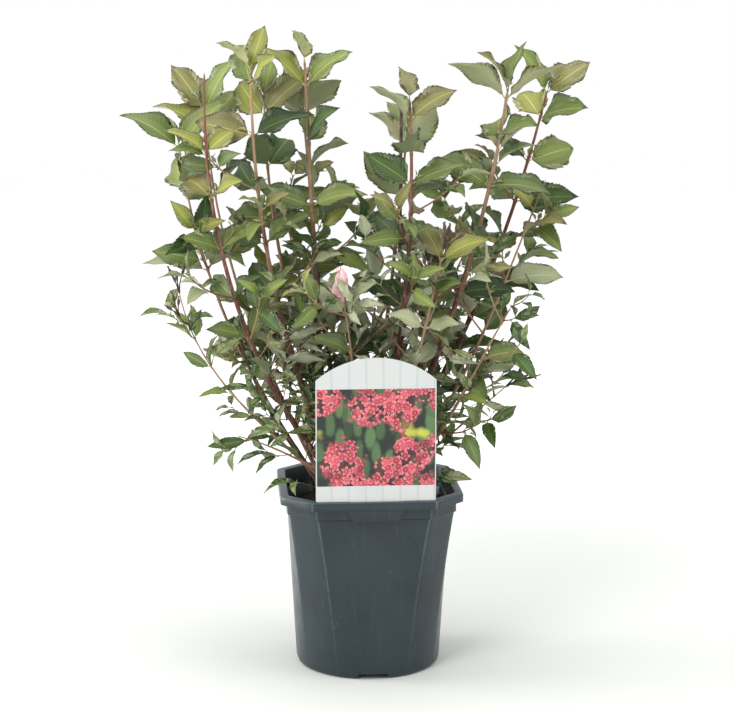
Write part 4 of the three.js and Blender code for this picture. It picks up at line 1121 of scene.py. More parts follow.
# ---------- finishes ----------
# Each tint gives a blade's margin, blade, strip beside the rib, rib, side veins and underside.
LEAF_TINTS = {
    "young_gold": ((96, 86, 64), (122, 126, 70), (142, 147, 72),
                   (188, 186, 116), (136, 142, 74), (158, 160, 124)),
    "young_bronze": ((90, 76, 62), (110, 107, 72), (128, 127, 74),
                     (174, 166, 110), (122, 120, 78), (148, 147, 116)),
    "fresh": ((88, 88, 60), (108, 122, 68), (124, 140, 72),
              (166, 172, 110), (118, 132, 76), (148, 154, 122)),
    "olive": ((72, 76, 52), (90, 106, 60), (104, 120, 64),
              (154, 160, 104), (102, 116, 66), (138, 146, 114)),
    "grey": ((122, 126, 104), (138, 146, 118), (146, 154, 122),
             (186, 188, 156), (152, 160, 130), (174, 180, 160)),
    "dull": ((66, 74, 50), (80, 98, 60), (98, 116, 66),
             (146, 154, 98), (98, 112, 70), (132, 142, 112)),
    "dark": ((44, 54, 34), (56, 74, 42), (70, 92, 50),
             (126, 138, 86), (74, 94, 54), (116, 128, 98)),
    "deep": ((28, 38, 24), (38, 54, 30), (50, 70, 38),
             (104, 118, 74), (56, 74, 42), (100, 112, 84)),
    # this tint is partly paler leaves and partly a painted highlight that stands in for sheen
    "pale": ((146, 154, 122), (166, 174, 142), (174, 182, 148),
             (202, 206, 174), (184, 190, 158), (178, 186, 160)),
}
LEAF_DEPTH = (0.9, 0.885, 0.86)  # how far each of those colours is deepened
# How likely each tint is, in the order above, for young, grown and old pairs, inside and low in the plant.
# Inside and low in the plant the dark and deep tints are painted shade, for the shade that falls among the
# leaves there.
TINT_ODDS = dict(young=(4, 4, 4, 2, 0, 0, 0, 0, 0), grown=(0, 1, 4, 5, 1, 4, 4, 2, 0),
                 old=(0, 0, 2, 3, 3, 3, 3, 3, 5), inner=(0, 0, 1, 2, 5, 2, 3, 4, 5),
                 low=(0, 0, 1, 3, 1, 3, 4, 7, 2))
# Where the painted shade lies: within this reach of the crown, below this height, and up to this much
# higher near the middle.
SHADED_ZONES = dict(reach=110, low=320, rise=240)
YOUNG_PAIRS, GROWN_PAIRS = 2, 5  # how many pairs from a tip down are young, and young or grown


def leaf_finishes():
    made = []
    for name, tones in LEAF_TINTS.items():
        for zone, tone in zip(ZONES, tones):
            deepened = [part * depth for part, depth in zip(tone, LEAF_DEPTH)]
            made.append(finish(f"leaf_{name}_{zone}", Base_Color=paint(*deepened),
                               Roughness=0.62 if zone == "under" else 0.46, Specular_IOR_Level=0.2,
                               Subsurface_Weight=0.12, Subsurface_Radius=(0.6, 1.0, 0.3),
                               Subsurface_Scale=0.002))
    return made


def deal_tint(odds, *keys):
    share = chance(*keys, 97) * sum(odds)
    for tint, odd in enumerate(odds):
        share -= odd
        if share < 0:
            return tint
    return len(odds) - 1


def tint_of(cane_index, pair, place, spray):
    """The tint of a leaf that stands at a place; low leaves are the darkest, inner ones the most mixed, and
    their dark tints are painted shade.
    """
    inward = clamp(1 - np.hypot(*(place - CROWN)[:2]) / SHADED_ZONES["reach"])
    if place[2] < SHADED_ZONES["low"]:
        age = "low"
    elif place[2] < SHADED_ZONES["low"] + SHADED_ZONES["rise"] * inward:
        age = "inner"
    else:
        age = "young" if pair < YOUNG_PAIRS else "grown" if pair < GROWN_PAIRS else "old"
    return deal_tint(TINT_ODDS[age], cane_index, spray)


def bark_look(young, old, streak, grain, relief):
    """Long fine ridges with lighter streaks and small pale pores; thick wood is darker than thin shoots."""
    def look(board):
        fibres = board.noise(board.place((1, 1, 0.16)), grain, 5)
        patches = board.noise(board.place((1, 1, 0.45)), 60, 3)
        pores = board.cells(board.place((1, 1, 0.7)), 420)
        tint = board.kept("stem_tint")
        age = board.smooth(board.kept("stem_radius"), 0.0014, 0.0030)
        skin = board.coat(paint(*young[0]), young[1], (tint + (patches - 0.5) * 0.6, 0.35, 0.8))
        wood = board.coat(paint(*old[0]), old[1], (patches + (tint - 0.5) * 0.5, 0.4, 0.62))
        base = board.coat(board.mix(age, skin, wood), streak, (fibres, 0.5, 0.72), 0.6)
        is_pore = board.smooth(pores, 0.12, 0.2, 1, 0)
        base = board.mix(is_pore * 0.4, base, paint(196, 176, 146))
        height = fibres * 0.8 + is_pore * 0.35
        return dict(Base_Color=base, Roughness=board.smooth(fibres, 0.3, 0.7, 0.5, 0.74),
                    Normal=board.bump(height, 0.5, relief))
    return look


def dry_look(board):
    fibres = board.noise(board.place((1, 1, 0.25)), 520, 4)
    patches = board.noise(board.place(), 90, 3)
    base = board.coat(paint(42, 32, 26), (84, 66, 50), (patches, 0.35, 0.65))
    base = board.coat(base, (124, 102, 78), (fibres, 0.5, 0.75), 0.5)
    return dict(Base_Color=base, Normal=board.bump(fibres, 0.5, 0.0004))


def plastic_look(board):
    """Moulded plastic: a cloudy satin skin with faint flow lines, rubbed pale along its creases, a paleness
    that is partly wear and partly a painted highlight.
    """
    clouds = board.noise(board.place(), 16, 3)
    flow = board.noise(board.place((1, 1, 0.12)), 130, 4)
    grit = board.noise(board.place(), 900, 2)
    rub_and_highlight = board.kept("rubbed")
    dust = board.noise(board.place(), 70, 6, 0.7)
    base = board.coat(paint(16, 30, 37), (24, 39, 46), (clouds, 0.3, 0.7))
    base = board.coat(base, (46, 58, 64), (flow, 0.5, 0.75), 0.22)
    # creases, lip and foot painted pale: partly wear, partly a painted highlight
    uneven_rub_and_highlight = rub_and_highlight * (0.75 + board.smooth(dust, 0.35, 0.6) * 0.4)
    base = board.coat(base, (88, 106, 110), (uneven_rub_and_highlight, 0.1, 1.0), 0.38)
    marks = board.cells(board.place((1, 1, 0.05)), 46, {"feature": "DISTANCE_TO_EDGE"})
    scratch = board.smooth(marks, 0.0, 0.012, 1, 0) * board.smooth(dust, 0.52, 0.62)
    base = board.mix(scratch * 0.16, base, paint(112, 124, 128))
    height = clouds * 0.6 + flow * 0.25 + grit * 0.12
    return dict(Base_Color=base, Roughness=board.smooth(dust, 0.3, 0.7, 0.26, 0.38) + rub_and_highlight * 0.1,
                Normal=board.bump(height, 0.32, 0.0006))


def soil_look(dark, light, scale):
    def look(board):
        lumps = board.noise(board.place(), scale, 6, 0.65)
        fine = board.noise(board.place(), scale * 5, 3)
        base = board.coat(paint(*dark), light, (lumps, 0.35, 0.68))
        base = board.coat(base, (110, 92, 70), (fine, 0.62, 0.72), 0.3)
        return dict(Base_Color=base, Normal=board.bump(lumps + fine * 0.4, 0.8, 0.0015))
    return look


PICTURE = dict(foot=211.5, head=311.5)
FLOWER = dict(size=0.44, lobe=0.1, petals=5)
IN_PLANE = {"voronoi_dimensions": "2D"}


def blossoms(board, flat, scale):
    """Flowers with five round petals, one to a cell: where they lie and their colour."""
    cell = board.cells(flat, scale, IN_PLANE)
    tone = board.add("ShaderNodeSeparateColor", {}, {"Color": cell.other("Color")})
    parts = board.split(board.vector("SUBTRACT", flat, cell.other("Position")))
    angle = parts.math("ARCTAN2", parts.other("Y"), parts) * FLOWER["petals"] + tone * 2 * math.pi
    lobe = angle.math("COSINE", angle)
    share = cell / (FLOWER["size"] + FLOWER["lobe"] * lobe)
    petals = board.mix(tone, paint(148, 30, 52), paint(200, 84, 98))
    petals = board.coat(petals, (232, 146, 152), (share, 0.55, 0.95), 0.6)
    petals = board.coat(petals, (104, 18, 36), (lobe, -0.3, -0.95), board.smooth(share, 0.25, 0.7) * 0.7)
    petals = board.coat(petals, (110, 20, 36), (share, 0.2, 0.34, 1, 0), 0.7)
    petals = board.coat(petals, (222, 190, 130), (share, 0.06, 0.16, 1, 0))
    petals = board.coat(petals, (84, 20, 34), (board.noise(flat, 46, 3), 0.52, 0.34), 0.6)
    return board.smooth(share, 0.94, 1.04, 1, 0), petals


def card_look(board):
    """A printed card: bare pale bands over and under a picture of pink blossom on dark leaves."""
    parts = board.split(board.here())
    across, height, depth = parts, parts.other("Z"), parts.other("Y")
    flat = board.add("ShaderNodeCombineXYZ", {}, {"X": across, "Y": height})

    ground = board.noise(flat, 55, 5, 0.6)
    tilted = board.add("ShaderNodeMapping", {},
                       {"Vector": flat, "Rotation": (0, 0, 0.7), "Scale": (1, 0.42, 1)})
    blade = board.cells(tilted, 95, IN_PLANE)
    blade_tone = board.add("ShaderNodeSeparateColor", {}, {"Color": blade.other("Color")})
    green = board.mix(blade_tone, paint(30, 44, 32), paint(76, 104, 64))
    green = board.coat(green, (22, 32, 26), (blade + (ground - 0.5) * 0.7, 0.3, 0.62))
    green = board.coat(green, (178, 182, 66), (board.noise(flat, 21, 3, 0.45), 0.6, 0.68), 0.8)

    clusters = board.cells(board.shifted(flat, (0.013, 0.021, 0)), 24, {"feature": "SMOOTH_F1"},
                           Smoothness=0.3)
    bunch = board.smooth(clusters + (ground - 0.5) * 1.1, 0.46, 0.56, 1, 0)
    picture = board.mix(bunch * 0.7, green, paint(70, 22, 34))
    for scale, shift in ((88, (0.3, 0.1, 0)), (104, (0.7, 0.9, 0))):
        flower, petals = blossoms(board, board.shifted(flat, shift), scale)
        picture = board.mix(bunch * flower, picture, petals)

    planks = board.add("ShaderNodeTexWave", {"wave_type": "BANDS", "bands_direction": "X"},
                       {"Vector": flat, "Scale": 18, "Distortion": 0.6, "Detail": 2})
    band = board.coat(paint(177, 179, 177), (134, 147, 156), (planks, 0.93, 0.99), 0.3)
    band = board.coat(band, (163, 166, 167), (board.noise(flat, 45, 3), 0.5, 0.7), 0.25)
    inside = ((height > PICTURE["foot"] * MM) * (height < PICTURE["head"] * MM)
              * (depth < (LABEL["y"] - LABEL["thick"] * 0.4) * MM)
              * (abs(across - LABEL["x"] * MM) < (LABEL["width"] / 2 - 1.2) * MM))
    front = board.mix(inside, band, picture)
    return dict(Base_Color=front, Roughness=board.smooth(ground, 0.3, 0.7, 0.3, 0.42))


def petal_look(board):
    veins = board.noise(board.place((1, 1, 0.2)), 700, 3)
    shade = board.noise(board.place(), 130, 3)
    base = board.coat(paint(222, 164, 172), (238, 198, 200), (shade, 0.35, 0.65))
    base = board.coat(base, (206, 122, 138), (veins, 0.5, 0.7), 0.5)
    return dict(Base_Color=base, Normal=board.bump(veins, 0.3, 0.0003))


def floor_look(board):
    """A pale floor that fades into the light round it."""
    place = board.here()
    drift = board.noise(place, 1.4, 2)
    far = board.vector("LENGTH", place, out=1) + (drift - 0.5) * 0.06
    base = board.coat(paint(192, 194, 190), (255, 255, 255), (far, 0.3, 1.7))
    return dict(Base_Color=base, Roughness=board.smooth(drift, 0.3, 0.7, 0.55, 0.65))

# ---------- stems ----------
SWELL = dict(rise=0.3, reach=2.6)
SLENDER = dict(tip=0.62, twig=0.85)
STEM_STEP = dict(cane=4.5, twig=4.0, shoot=3.5)
CANE_SUNK = 3  # how far a cane's mesh starts inside the crown
CANE_ROWS = dict(beside=3, least=0.6)  # rows this far from each joint, and none closer together than this
BLUNT = dict(share=0.35, over=5)  # how far a cane is drawn in at its very tip, and over what length
COLLAR = dict(more=0.5, reach=2.5)  # how much thicker a twig is at its foot, and how soon that ends
TWIG_TAPER = 0.4
NO_JOINT = -100  # a length too far off to swell a stem
DEAD = dict(foot=12.0, joints=(0.3, 0.55, 0.78, 0.97), least=0.3)
# A dry stalk swells into a slender split capsule with a beak: how far along, and how thick.
CAPSULE = ((0, 0.75), (0.3, 0.5), (0.52, 0.45), (0.6, 0.8), (0.7, 1.25), (0.8, 1.35), (0.88, 0.8),
           (0.93, 0.45), (1.0, 0.75))
CAPSULE_SIZE = (1.1, 1.45)


class Lines:
    """Open lines with a radius at each point, gathered to be made round by one tree of nodes."""

    def __init__(self):
        self.lines = []

    def add(self, points, radii):
        self.lines.append((np.asarray(points) * MM, np.asarray(radii) * MM))

    def curve(self, name):
        data = bpy.data.curves.new(name, "CURVE")
        data.dimensions = "3D"
        for points, radii in self.lines:
            line = data.splines.new("POLY")
            line.points.add(len(points) - 1)
            line.points.foreach_set("co", np.column_stack([points, np.ones(len(points))]).ravel())
            line.points.foreach_set("radius", radii)
        return set_in_scene(name, data)


def stem_tree():
    """Makes lines round, with a fluted skin, and keeps each stem's radius and a tint for its finish."""
    board = GeometryBoard("round_stems", Sides="count", Relief="number", Grain="number", Bark="material")
    radius = board.add("GeometryNodeInputRadius")
    which = board.add("GeometryNodeCurveOfPoint", out=0)
    kept = board.stored(board.given("Geometry"), "stem_radius", radius)
    kept = board.stored(kept, "stem_tint", board.random(0.0, 1.0, 11, ID=which))
    ring = board.add("GeometryNodeCurvePrimitiveCircle", {"mode": "RADIUS"},
                     {"Resolution": board.given("Sides"), "Radius": 1.0})
    skin = board.add("GeometryNodeCurveToMesh", {},
                     {"Curve": kept, "Profile Curve": ring, "Scale": radius, "Fill Caps": True})
    return board.close(board.ridged(skin, 0.3, 2.0), board.given("Bark"))


def swell_at(joints, length):
    """How much thicker a stem is at a length, for the joint that is nearest."""
    return 1 + SWELL["rise"] * math.exp(-(np.abs(joints - length).min() / SWELL["reach"]) ** 2)


def cane_line(cane):
    """A cane's points from its foot to its tip, thicker at each joint."""
    count = max(2, round((cane.path.length + CANE_SUNK) / STEM_STEP["cane"]))
    lengths = np.linspace(-CANE_SUNK, cane.path.length, count)
    joints = np.array([joint.length for joint in cane.joints])
    beside = [joints + CANE_ROWS["beside"] * side for side in (-1, 0, 1)]
    lengths = np.unique(np.concatenate([lengths, *beside]))
    lengths = lengths[(lengths >= -CANE_SUNK) & (lengths <= cane.path.length)]
    lengths = lengths[np.concatenate([[True], np.diff(lengths) > CANE_ROWS["least"]])]
    points, radii = [], []
    for length in lengths:
        place, way = cane.path.at(length)
        if length < 0:
            place = place + way * length
        radius = stem_radius(cane, max(length, 0)) * swell_at(joints, length)
        to_tip = cane.path.length - length
        slender = lerp(1, SLENDER["tip"], clamp(length / cane.path.length))
        points.append(place)
        radii.append(radius * slender * min(1, BLUNT["share"] + to_tip / BLUNT["over"]))
    return points, radii


def dead_line(dead):
    """A bare dead cane, cut off blunt, with a swollen joint here and there."""
    cane = SimpleNamespace(**dead)
    cane.foot = CROWN + np.array([*dead["foot"], DEAD["foot"]])
    cane.path = cane_path(cane)
    cane.joints = [SimpleNamespace(length=cane.path.length * share) for share in DEAD["joints"]]
    points, radii = cane_line(cane)
    return points, [max(radius, DEAD["least"] * cane.thick) for radius in radii]


def twig_line(path, radius, step, joints=()):
    count = max(3, round(path.length / step))
    lengths = np.linspace(0, path.length, count + 1)
    marks = np.array([*joints, NO_JOINT])
    points, radii = [], []
    for length in lengths:
        collar = 1 + COLLAR["more"] * math.exp(-length / COLLAR["reach"])
        points.append(path.at(length)[0])
        radii.append(radius * swell_at(marks, length) * collar * (1 - TWIG_TAPER * length / path.length))
    return points, radii


def stalk_line(path, key):
    size = spread(*CAPSULE_SIZE, key, 98)
    return [path.at(path.length * share)[0] for share, _ in CAPSULE], [r * size for _, r in CAPSULE]


def side_of(cane):
    if cane.faces == "back":
        return "behind"
    return next((side for side in ("left", "right") if cane.name.startswith(side)), "middle")


SIDES = ("left", "middle", "right", "behind")


def lines_of(cane):
    """Each line of a cane's growth: its kind, and its points and radii."""
    yield "boughs", cane_line(cane)
    for joint in cane.joints:
        if joint.twig:
            marks = [twig_joint.length for twig_joint in joint.twig.joints]
            radius = TWIG["radius"] * SLENDER["twig"]
            yield "twigs", twig_line(joint.twig.path, radius, STEM_STEP["twig"], marks)
    for shoot in cane.shoots:
        yield "twigs", twig_line(shoot.path, shoot.radius, STEM_STEP["shoot"])
    for key, path in enumerate(cane.top_paths if cane.top == "stalks" else ()):
        yield "stalks", stalk_line(path, key)
    for key, (name, share, aim) in enumerate(DRY_FORKS):
        if name == cane.name:
            twig, fan = dry_fork(cane, share, aim, key)
            yield "stalks", twig_line(twig, FORK["radius"], STEM_STEP["shoot"])
            for path in fan:
                yield "stalks", stalk_line(path, key)


def make_stems(canes, finishes):
    tree = stem_tree()
    kinds = dict(
        boughs=dict(Sides=10, Relief=0.0007, Grain=240.0, Bark=finishes["cane_bark"]),
        twigs=dict(Sides=7, Relief=0.0003, Grain=400.0, Bark=finishes["cane_bark"]),
        stalks=dict(Sides=6, Relief=0.0002, Grain=500.0, Bark=finishes["dry_stalk"]),
    )
    for side in SIDES:
        gathered = {kind: Lines() for kind in kinds}
        group = [cane for cane in canes if side_of(cane) == side]
        for cane in group:
            for kind, line in lines_of(cane):
                gathered[kind].add(*line)
        for dead in DEAD_CANES:
            if dead["side"] == side:
                gathered["stalks"].add(*dead_line(dead))
        for kind, lines in gathered.items():
            if not lines.lines:
                continue
            piece = lines.curve(f"{kind}_{side}")
            run_tree(piece, tree, **kinds[kind])
            nodes = [f"cane_{cane.name}" for cane in group] if kind == "boughs" else []
            finish_piece(as_plain_mesh(piece), nodes)


def leaves_of(cane):
    """Each leaf of a cane: its pair, the number of the spray that it shares its tint with, and its cut."""
    def kept(leaves):
        return [leaf for leaf in leaves if chance(*leaf.keys, 99) >= THINNED.get(cane.name, 0)]

    for joint in cane.joints:
        for leaf in kept(joint.leaves):
            yield leaf, joint.pair, joint.pair * 4 + leaf.keys[-1], LARGE
        for twig_joint in joint.twig.joints if joint.twig else ():
            pair = twig_joint.pair + 1
            for leaf in kept(twig_joint.leaves):
                yield leaf, pair, 500 + joint.pair * 4 + pair, LARGE
    for leaf in cane.small_leaves:
        yield leaf, 0 if leaf.length < BUD_LEAF else 3, 900 + leaf.keys[1] * 4 + leaf.keys[2], SMALL


def make_leaves(canes, tints):
    for side in SIDES:
        stock = Stock()
        group = [(index, cane) for index, cane in enumerate(canes) if side_of(cane) == side]
        for index, cane in group:
            for leaf, pair, spray, shape in leaves_of(cane):
                add_leaf(stock, leaf, tint_of(index, pair, leaf.base, spray), shape)
        piece = set_in_scene(f"leaves_{side}", stock.mesh(f"leaves_{side}"), tints)
        finish_piece(piece, [f"foliage_{cane.name}" for _, cane in group])


# ---------- crown ----------
CROWN_VOXEL = 1.1
CROWN_SUNK = 2
# Each root: how far out it reaches, its radii, and the rise and reach of the points that it bends by.
ROOT_FLARE = dict(count=5, sway=0.4, least=19, most=25, thick=7.5, thin=2.8, start=17, upper=(7, 10),
                  lower=(12, 1), sunk=3.5)
STUB_LENGTH = 4
STUB = dict(over=0.35, collar=0.9, collar_at=0.9, collar_long=0.08)


def make_crown(canes, finishes):
    lines = Lines()
    heights = [TRUNK[0][0] - CROWN_SUNK, *(z for z, _ in TRUNK[1:])]
    lines.add([CROWN + UP * z for z in heights], [radius for _, radius in TRUNK])
    for i in range(ROOT_FLARE["count"]):
        out = level(2 * math.pi * i / ROOT_FLARE["count"] + sway(ROOT_FLARE["sway"], i, 41))
        reach = spread(ROOT_FLARE["least"], ROOT_FLARE["most"], i, 42)
        upper, lower = [CROWN + out * ROOT_FLARE[end][0] + UP * ROOT_FLARE[end][1]
                        for end in ("upper", "lower")]
        path = bezier(CROWN + UP * ROOT_FLARE["start"], upper, lower,
                      CROWN + out * reach - UP * ROOT_FLARE["sunk"], 10)
        lines.add(path.points, np.linspace(ROOT_FLARE["thick"], ROOT_FLARE["thin"], len(path.points)))
    for cane in canes:
        start = CROWN + UP * FORK_START["height"]
        place, way = cane.path.at(0)
        tip = place + way * STUB_LENGTH
        reach = np.linalg.norm(tip - start) * FORK_START["hold"]
        out = unit((tip - start) * (1, 1, 0))
        rise = unit(out + UP * FORK_START["rise"])
        path = bezier(start, start + rise * reach, tip - way * reach, tip, 14)
        shares = path.run / path.length
        collar = STUB["collar"] * np.exp(-((shares - STUB["collar_at"]) / STUB["collar_long"]) ** 2)
        lines.add(path.points, lerp(FORK_START["radius"], cane.thick / 2 + STUB["over"], shares) + collar)
    piece = lines.curve("crown_wood")
    run_tree(piece, stem_tree(), Sides=12, Relief=0.0, Grain=200.0, Bark=finishes["bark"])
    melt = piece.modifiers.new("one_skin", "REMESH")
    melt.mode = "VOXEL"
    melt.voxel_size = CROWN_VOXEL * MM
    melt.use_smooth_shade = True
    ease = piece.modifiers.new("ease", "SMOOTH")
    ease.iterations = 3
    run_tree(piece, relief_tree(), Relief=0.0016, Grain=150.0, Finish=finishes["bark"])
    finish_piece(as_plain_mesh(piece), ["crown"])


def relief_tree():
    """Raises long ridges on a skin, as old bark has."""
    board = GeometryBoard("ridged_bark", Relief="number", Grain="number", Finish="material")
    return board.close(board.ridged(board.given("Geometry"), 0.28, 3.0), board.given("Finish"))


# ---------- pot ----------
COLLAR_FOOT = POT_HEIGHT - RIM_BAND - COLLAR_BAND
FLAT_SHARES = (-1, -0.97, -0.93, -0.7, -0.35, 0, 0.35, 0.7, 0.93, 0.97)
CREASE_EASE = dict(deep=0.6, wide=0.1)
FIT_GAP = 0.3
# How wide the rub along each kind of edge is, how strong, and how strong a crease's is low on the pot. The
# rub is partly wear and partly a painted highlight on the rounded edges.
RUB_AND_HIGHLIGHT = dict(crease=(1.3, 0.65), lip=(0.9, 0.9), foot=(1.5, 0.6), low=0.35)
WALL_ROWS = (15, 25, 40, 60, 80, 100, 120, 140, 158)
SHARP = math.radians(36)
NOTCH_SIDE = ((0, -2), (1.5, NOTCH["height"] - 0.8), (2.6, NOTCH["height"]))  # how far in, and up


def share_up(z, low, high):
    return clamp((z - low) / (high - low))


def wall_half(z):
    return lerp(WALL_FOOT_HALF, WALL_TOP_HALF, share_up(z, FOOT_EDGE, COLLAR_FOOT))


def pot_point(within, half, z, quadrant, corner):
    """A point of the pot's outline, `within` -1 to 1 across one of its flats or cut corners."""
    square = share_up(z, ROUND_BELOW, COLLAR_FOOT)
    crease = math.radians(lerp(CREASE_FOOT, CREASE_TOP, square))
    share = (within + 1) / 2
    angle = lerp(crease, QUARTER - crease, share) if corner else lerp(-crease, crease, share)
    chamfer = half * (1 + math.tan(crease)) / (math.cos(angle) + math.sin(angle))
    straight = chamfer if corner else half / math.cos(angle)
    past = abs(within) - (1 - CREASE_EASE["wide"])
    if past > 0:
        straight -= CREASE_EASE["deep"] * past / CREASE_EASE["wide"]
    radius = lerp(half, straight, square)
    bearing = angle + quadrant * QUARTER
    return np.array([radius * math.cos(bearing), radius * math.sin(bearing), z])


def rounded(rows, steps):
    """Rows of (across, up, round): each corner with a round becomes an arc of so many points."""
    made = []
    for i, (across, up, ease) in enumerate(rows):
        here = np.array([across, up], float)
        if not ease:
            made.append(here)
            continue
        ends = [np.array(row[:2], float) for row in (rows[i - 1], rows[(i + 1) % len(rows)])]
        a, b = [here + unit(end - here) * ease for end in ends]
        for t in np.linspace(0, 1, steps):
            made.append((1 - t) ** 2 * a + 2 * t * (1 - t) * here + t ** 2 * b)
    return made


def lathe(stock, rows):
    """Turns rows of (half width, height) round the pot's outline; the first and last lie on the axis."""
    turns = [(within, quadrant, corner)
             for quadrant in FOUR for corner in (False, True) for within in FLAT_SHARES]
    sides = len(turns)
    points = [np.array([0, 0, rows[0][1]])]
    for half, z in rows[1:-1]:
        points += [pot_point(within, half, z, quadrant, corner) for within, quadrant, corner in turns]
    points.append(np.array([0, 0, rows[-1][1]]))
    rings = range(1, len(points) - 1, sides)
    quads = [face for low, high in zip(rings, rings[1:]) for face in ring_quads(low, high, sides)]
    thirds = []
    for i in range(sides):
        j = (i + 1) % sides
        thirds += [[0, 1 + j, 1 + i], [len(points) - 1, rings[-1] + i, rings[-1] + j]]
    stock.add_plain(points, quads, thirds)


def inside_half(z):
    return wall_half(z) - WALL_THICK


def pot_rows():
    rim_foot = POT_HEIGHT - RIM_BAND
    rows = [(0, 0, 0), (PAD_RADIUS, 0, 0.8), (PAD_RADIUS + 3, RECESS, 0.8), (RING_INNER - 3, RECESS, 0.8),
            (RING_INNER, 0, 0.8), (WALL_FOOT_HALF - FOOT_EDGE, 0, 1.2), (WALL_FOOT_HALF, FOOT_EDGE, 1.6),
            (wall_half(ROUND_BELOW), ROUND_BELOW, 0)]
    rows += [(wall_half(z), z, 0) for z in WALL_ROWS]
    rows += [(WALL_TOP_HALF, COLLAR_FOOT, 0.8), (COLLAR_HALF, COLLAR_FOOT + 1.5, 0.8),
             (COLLAR_HALF, rim_foot - 0.3, 0.9), (RIM_HALF, rim_foot, 0.9), (RIM_HALF, POT_HEIGHT, 1.6),
             (RIM_INNER_HALF, POT_HEIGHT, 1.3), (RIM_INNER_HALF, COLLAR_FOOT + 1.5, 0.8),
             (inside_half(COLLAR_FOOT), COLLAR_FOOT, 0.8)]
    rows += [(inside_half(z), z, 0) for z in reversed(WALL_ROWS)]
    rows += [(inside_half(ROUND_BELOW), ROUND_BELOW, 0.6), (inside_half(FLOOR_TOP) - 1.5, FLOOR_TOP, 0.6),
             (0, FLOOR_TOP, 0)]
    return rounded(rows, 3)


def outline_block(name, outline, low, high, bevel=0.0):
    """A block whose outline lies in X and Z and which runs from `low` to `high` in Y."""
    count = len(outline)
    ends = [[*range(count)], [*range(2 * count - 1, count - 1, -1)]]
    block = solid_of(name, [(x, y, z) for y in (low, high) for x, z in outline],
                     ends + ring_quads(count, 0, count))
    return ease_edges(block, bevel, 3) if bevel else block


def tongue_outline(wider, top, foot):
    x = LABEL["x"]
    return [(x - TONGUE["foot"] / 2 - wider, foot), (x + TONGUE["foot"] / 2 + wider, foot),
            (x + TONGUE["top"] / 2 + wider, top), (x - TONGUE["top"] / 2 - wider, top)]


def cut(piece, tools, operation="DIFFERENCE"):
    for tool in tools:
        step = piece.modifiers.new("cut", "BOOLEAN")
        step.object = tool
        step.operation = operation
        step.solver = "EXACT"
    made = as_plain_mesh(piece)
    for tool in tools:
        bpy.data.objects.remove(tool)
    return made


def turned(block, angle):
    block.data.transform(Matrix.Rotation(angle, 4, "Z"))
    return block


def drain_outline():
    return [(DRAIN["radius"] * math.cos(i * math.pi / 12), DRAIN["radius"] * math.sin(i * math.pi / 12))
            for i in range(24)]


def make_pot(finishes):
    """The pot, with the label's pocket and slot, and with notches and drain holes round its foot."""
    stock = Stock()
    lathe(stock, pot_rows())
    pot = set_in_scene("nursery_pot", stock.mesh("nursery_pot"))
    pocket = outline_block("pocket", tongue_outline(POCKET["wider"], POCKET["top"], POCKET["foot"]),
                           -POCKET["front"], -POCKET["back"], 0.8)
    pot = cut(pot, [pocket], "UNION")
    slot_half = LABEL["thick"] / 2 + FIT_GAP
    slot = tongue_outline(FIT_GAP, POT_HEIGHT + 1, POT_HEIGHT - TONGUE["depth"] - FIT_GAP)
    tools = [outline_block("slot", slot, LABEL["y"] - slot_half, LABEL["y"] + slot_half)]
    half = NOTCH["width"] / 2
    arch = [(half - inward, z) for inward, z in NOTCH_SIDE]
    arch += [(inward - half, z) for inward, z in reversed(NOTCH_SIDE)]
    for i in range(NOTCH["count"]):
        turn = i * 2 * math.pi / NOTCH["count"]
        tools.append(turned(outline_block("notch", arch, -WALL_FOOT_HALF - 10, -NOTCH["inner"]), turn))
        drain = outline_block("drain", drain_outline(), -FLOOR_TOP - 3, 1)
        drain.data.transform(Matrix.Rotation(-QUARTER, 4, "X"))
        drain.data.transform(Matrix.Translation((DRAIN["start"] * MM, 0, 0)))
        tools.append(turned(drain, turn + math.pi / NOTCH["count"]))
    pot = cut(pot, tools)
    rub_and_highlight_edges(pot.data)
    pot.data.materials.clear()
    pot.data.materials.append(finishes["pot_plastic"])
    pot.data.set_sharp_from_angle(angle=SHARP)
    finish_piece(pot, ["pot"])


def rub_and_highlight_edges(mesh):
    """Marks how near each corner of the mesh is to a crease or lip that rubs pale; that pale is partly wear
    and partly a painted highlight.
    """
    points = np.empty(len(mesh.vertices) * 3)
    mesh.vertices.foreach_get("co", points)
    x, y, z = (points.reshape(-1, 3) / MM).T
    square = np.clip((z - ROUND_BELOW) / (COLLAR_FOOT - ROUND_BELOW), 0, 1)
    crease = np.radians(lerp(CREASE_FOOT, CREASE_TOP, square))
    bearing = np.abs((np.arctan2(y, x) + math.pi / 4) % QUARTER - math.pi / 4)
    off = np.abs(bearing - crease) * np.hypot(x, y)
    strong = dict(crease=RUB_AND_HIGHLIGHT["low"] + RUB_AND_HIGHLIGHT["crease"][1] * square, lip=RUB_AND_HIGHLIGHT["lip"][1], foot=RUB_AND_HIGHLIGHT["foot"][1])
    rub_and_highlight = np.max([strong[edge] * np.exp(-(away / RUB_AND_HIGHLIGHT[edge][0]) ** 2)
                  for edge, away in (("crease", off), ("lip", z - POT_HEIGHT), ("foot", z))], axis=0)
    layer = mesh.attributes.new("rubbed", "FLOAT", "POINT")
    layer.data.foreach_set("value", rub_and_highlight.astype(np.float32))
    mesh.polygons.foreach_set("use_smooth", np.ones(len(mesh.polygons), bool))


# ---------- soil ----------
SOIL_RINGS = 30
SOIL_SKIN = SOIL_TOP - 8  # what lies over this height is the soil's top
SOIL_ROWS = (12, 50, 90, 130, 155)
SOIL_CALM = (0.078, 0.083)  # the lumps die out from one of these radii to the other, in metres
STREWN_WITHIN = 0.079
# How many bits lie on a square metre, and the least and most size of each.
CRUMBS = dict(crumb=(46000, 0.5, 1.5), chip=(9000, 0.7, 1.5), fibre=(6000, 0.7, 1.6))


def soil_height(radius):
    fall = SOIL_SETTLE / (COLLAR_HALF - SOIL_FLAT)
    return SOIL_TOP - fall * max(0, radius - SOIL_FLAT)


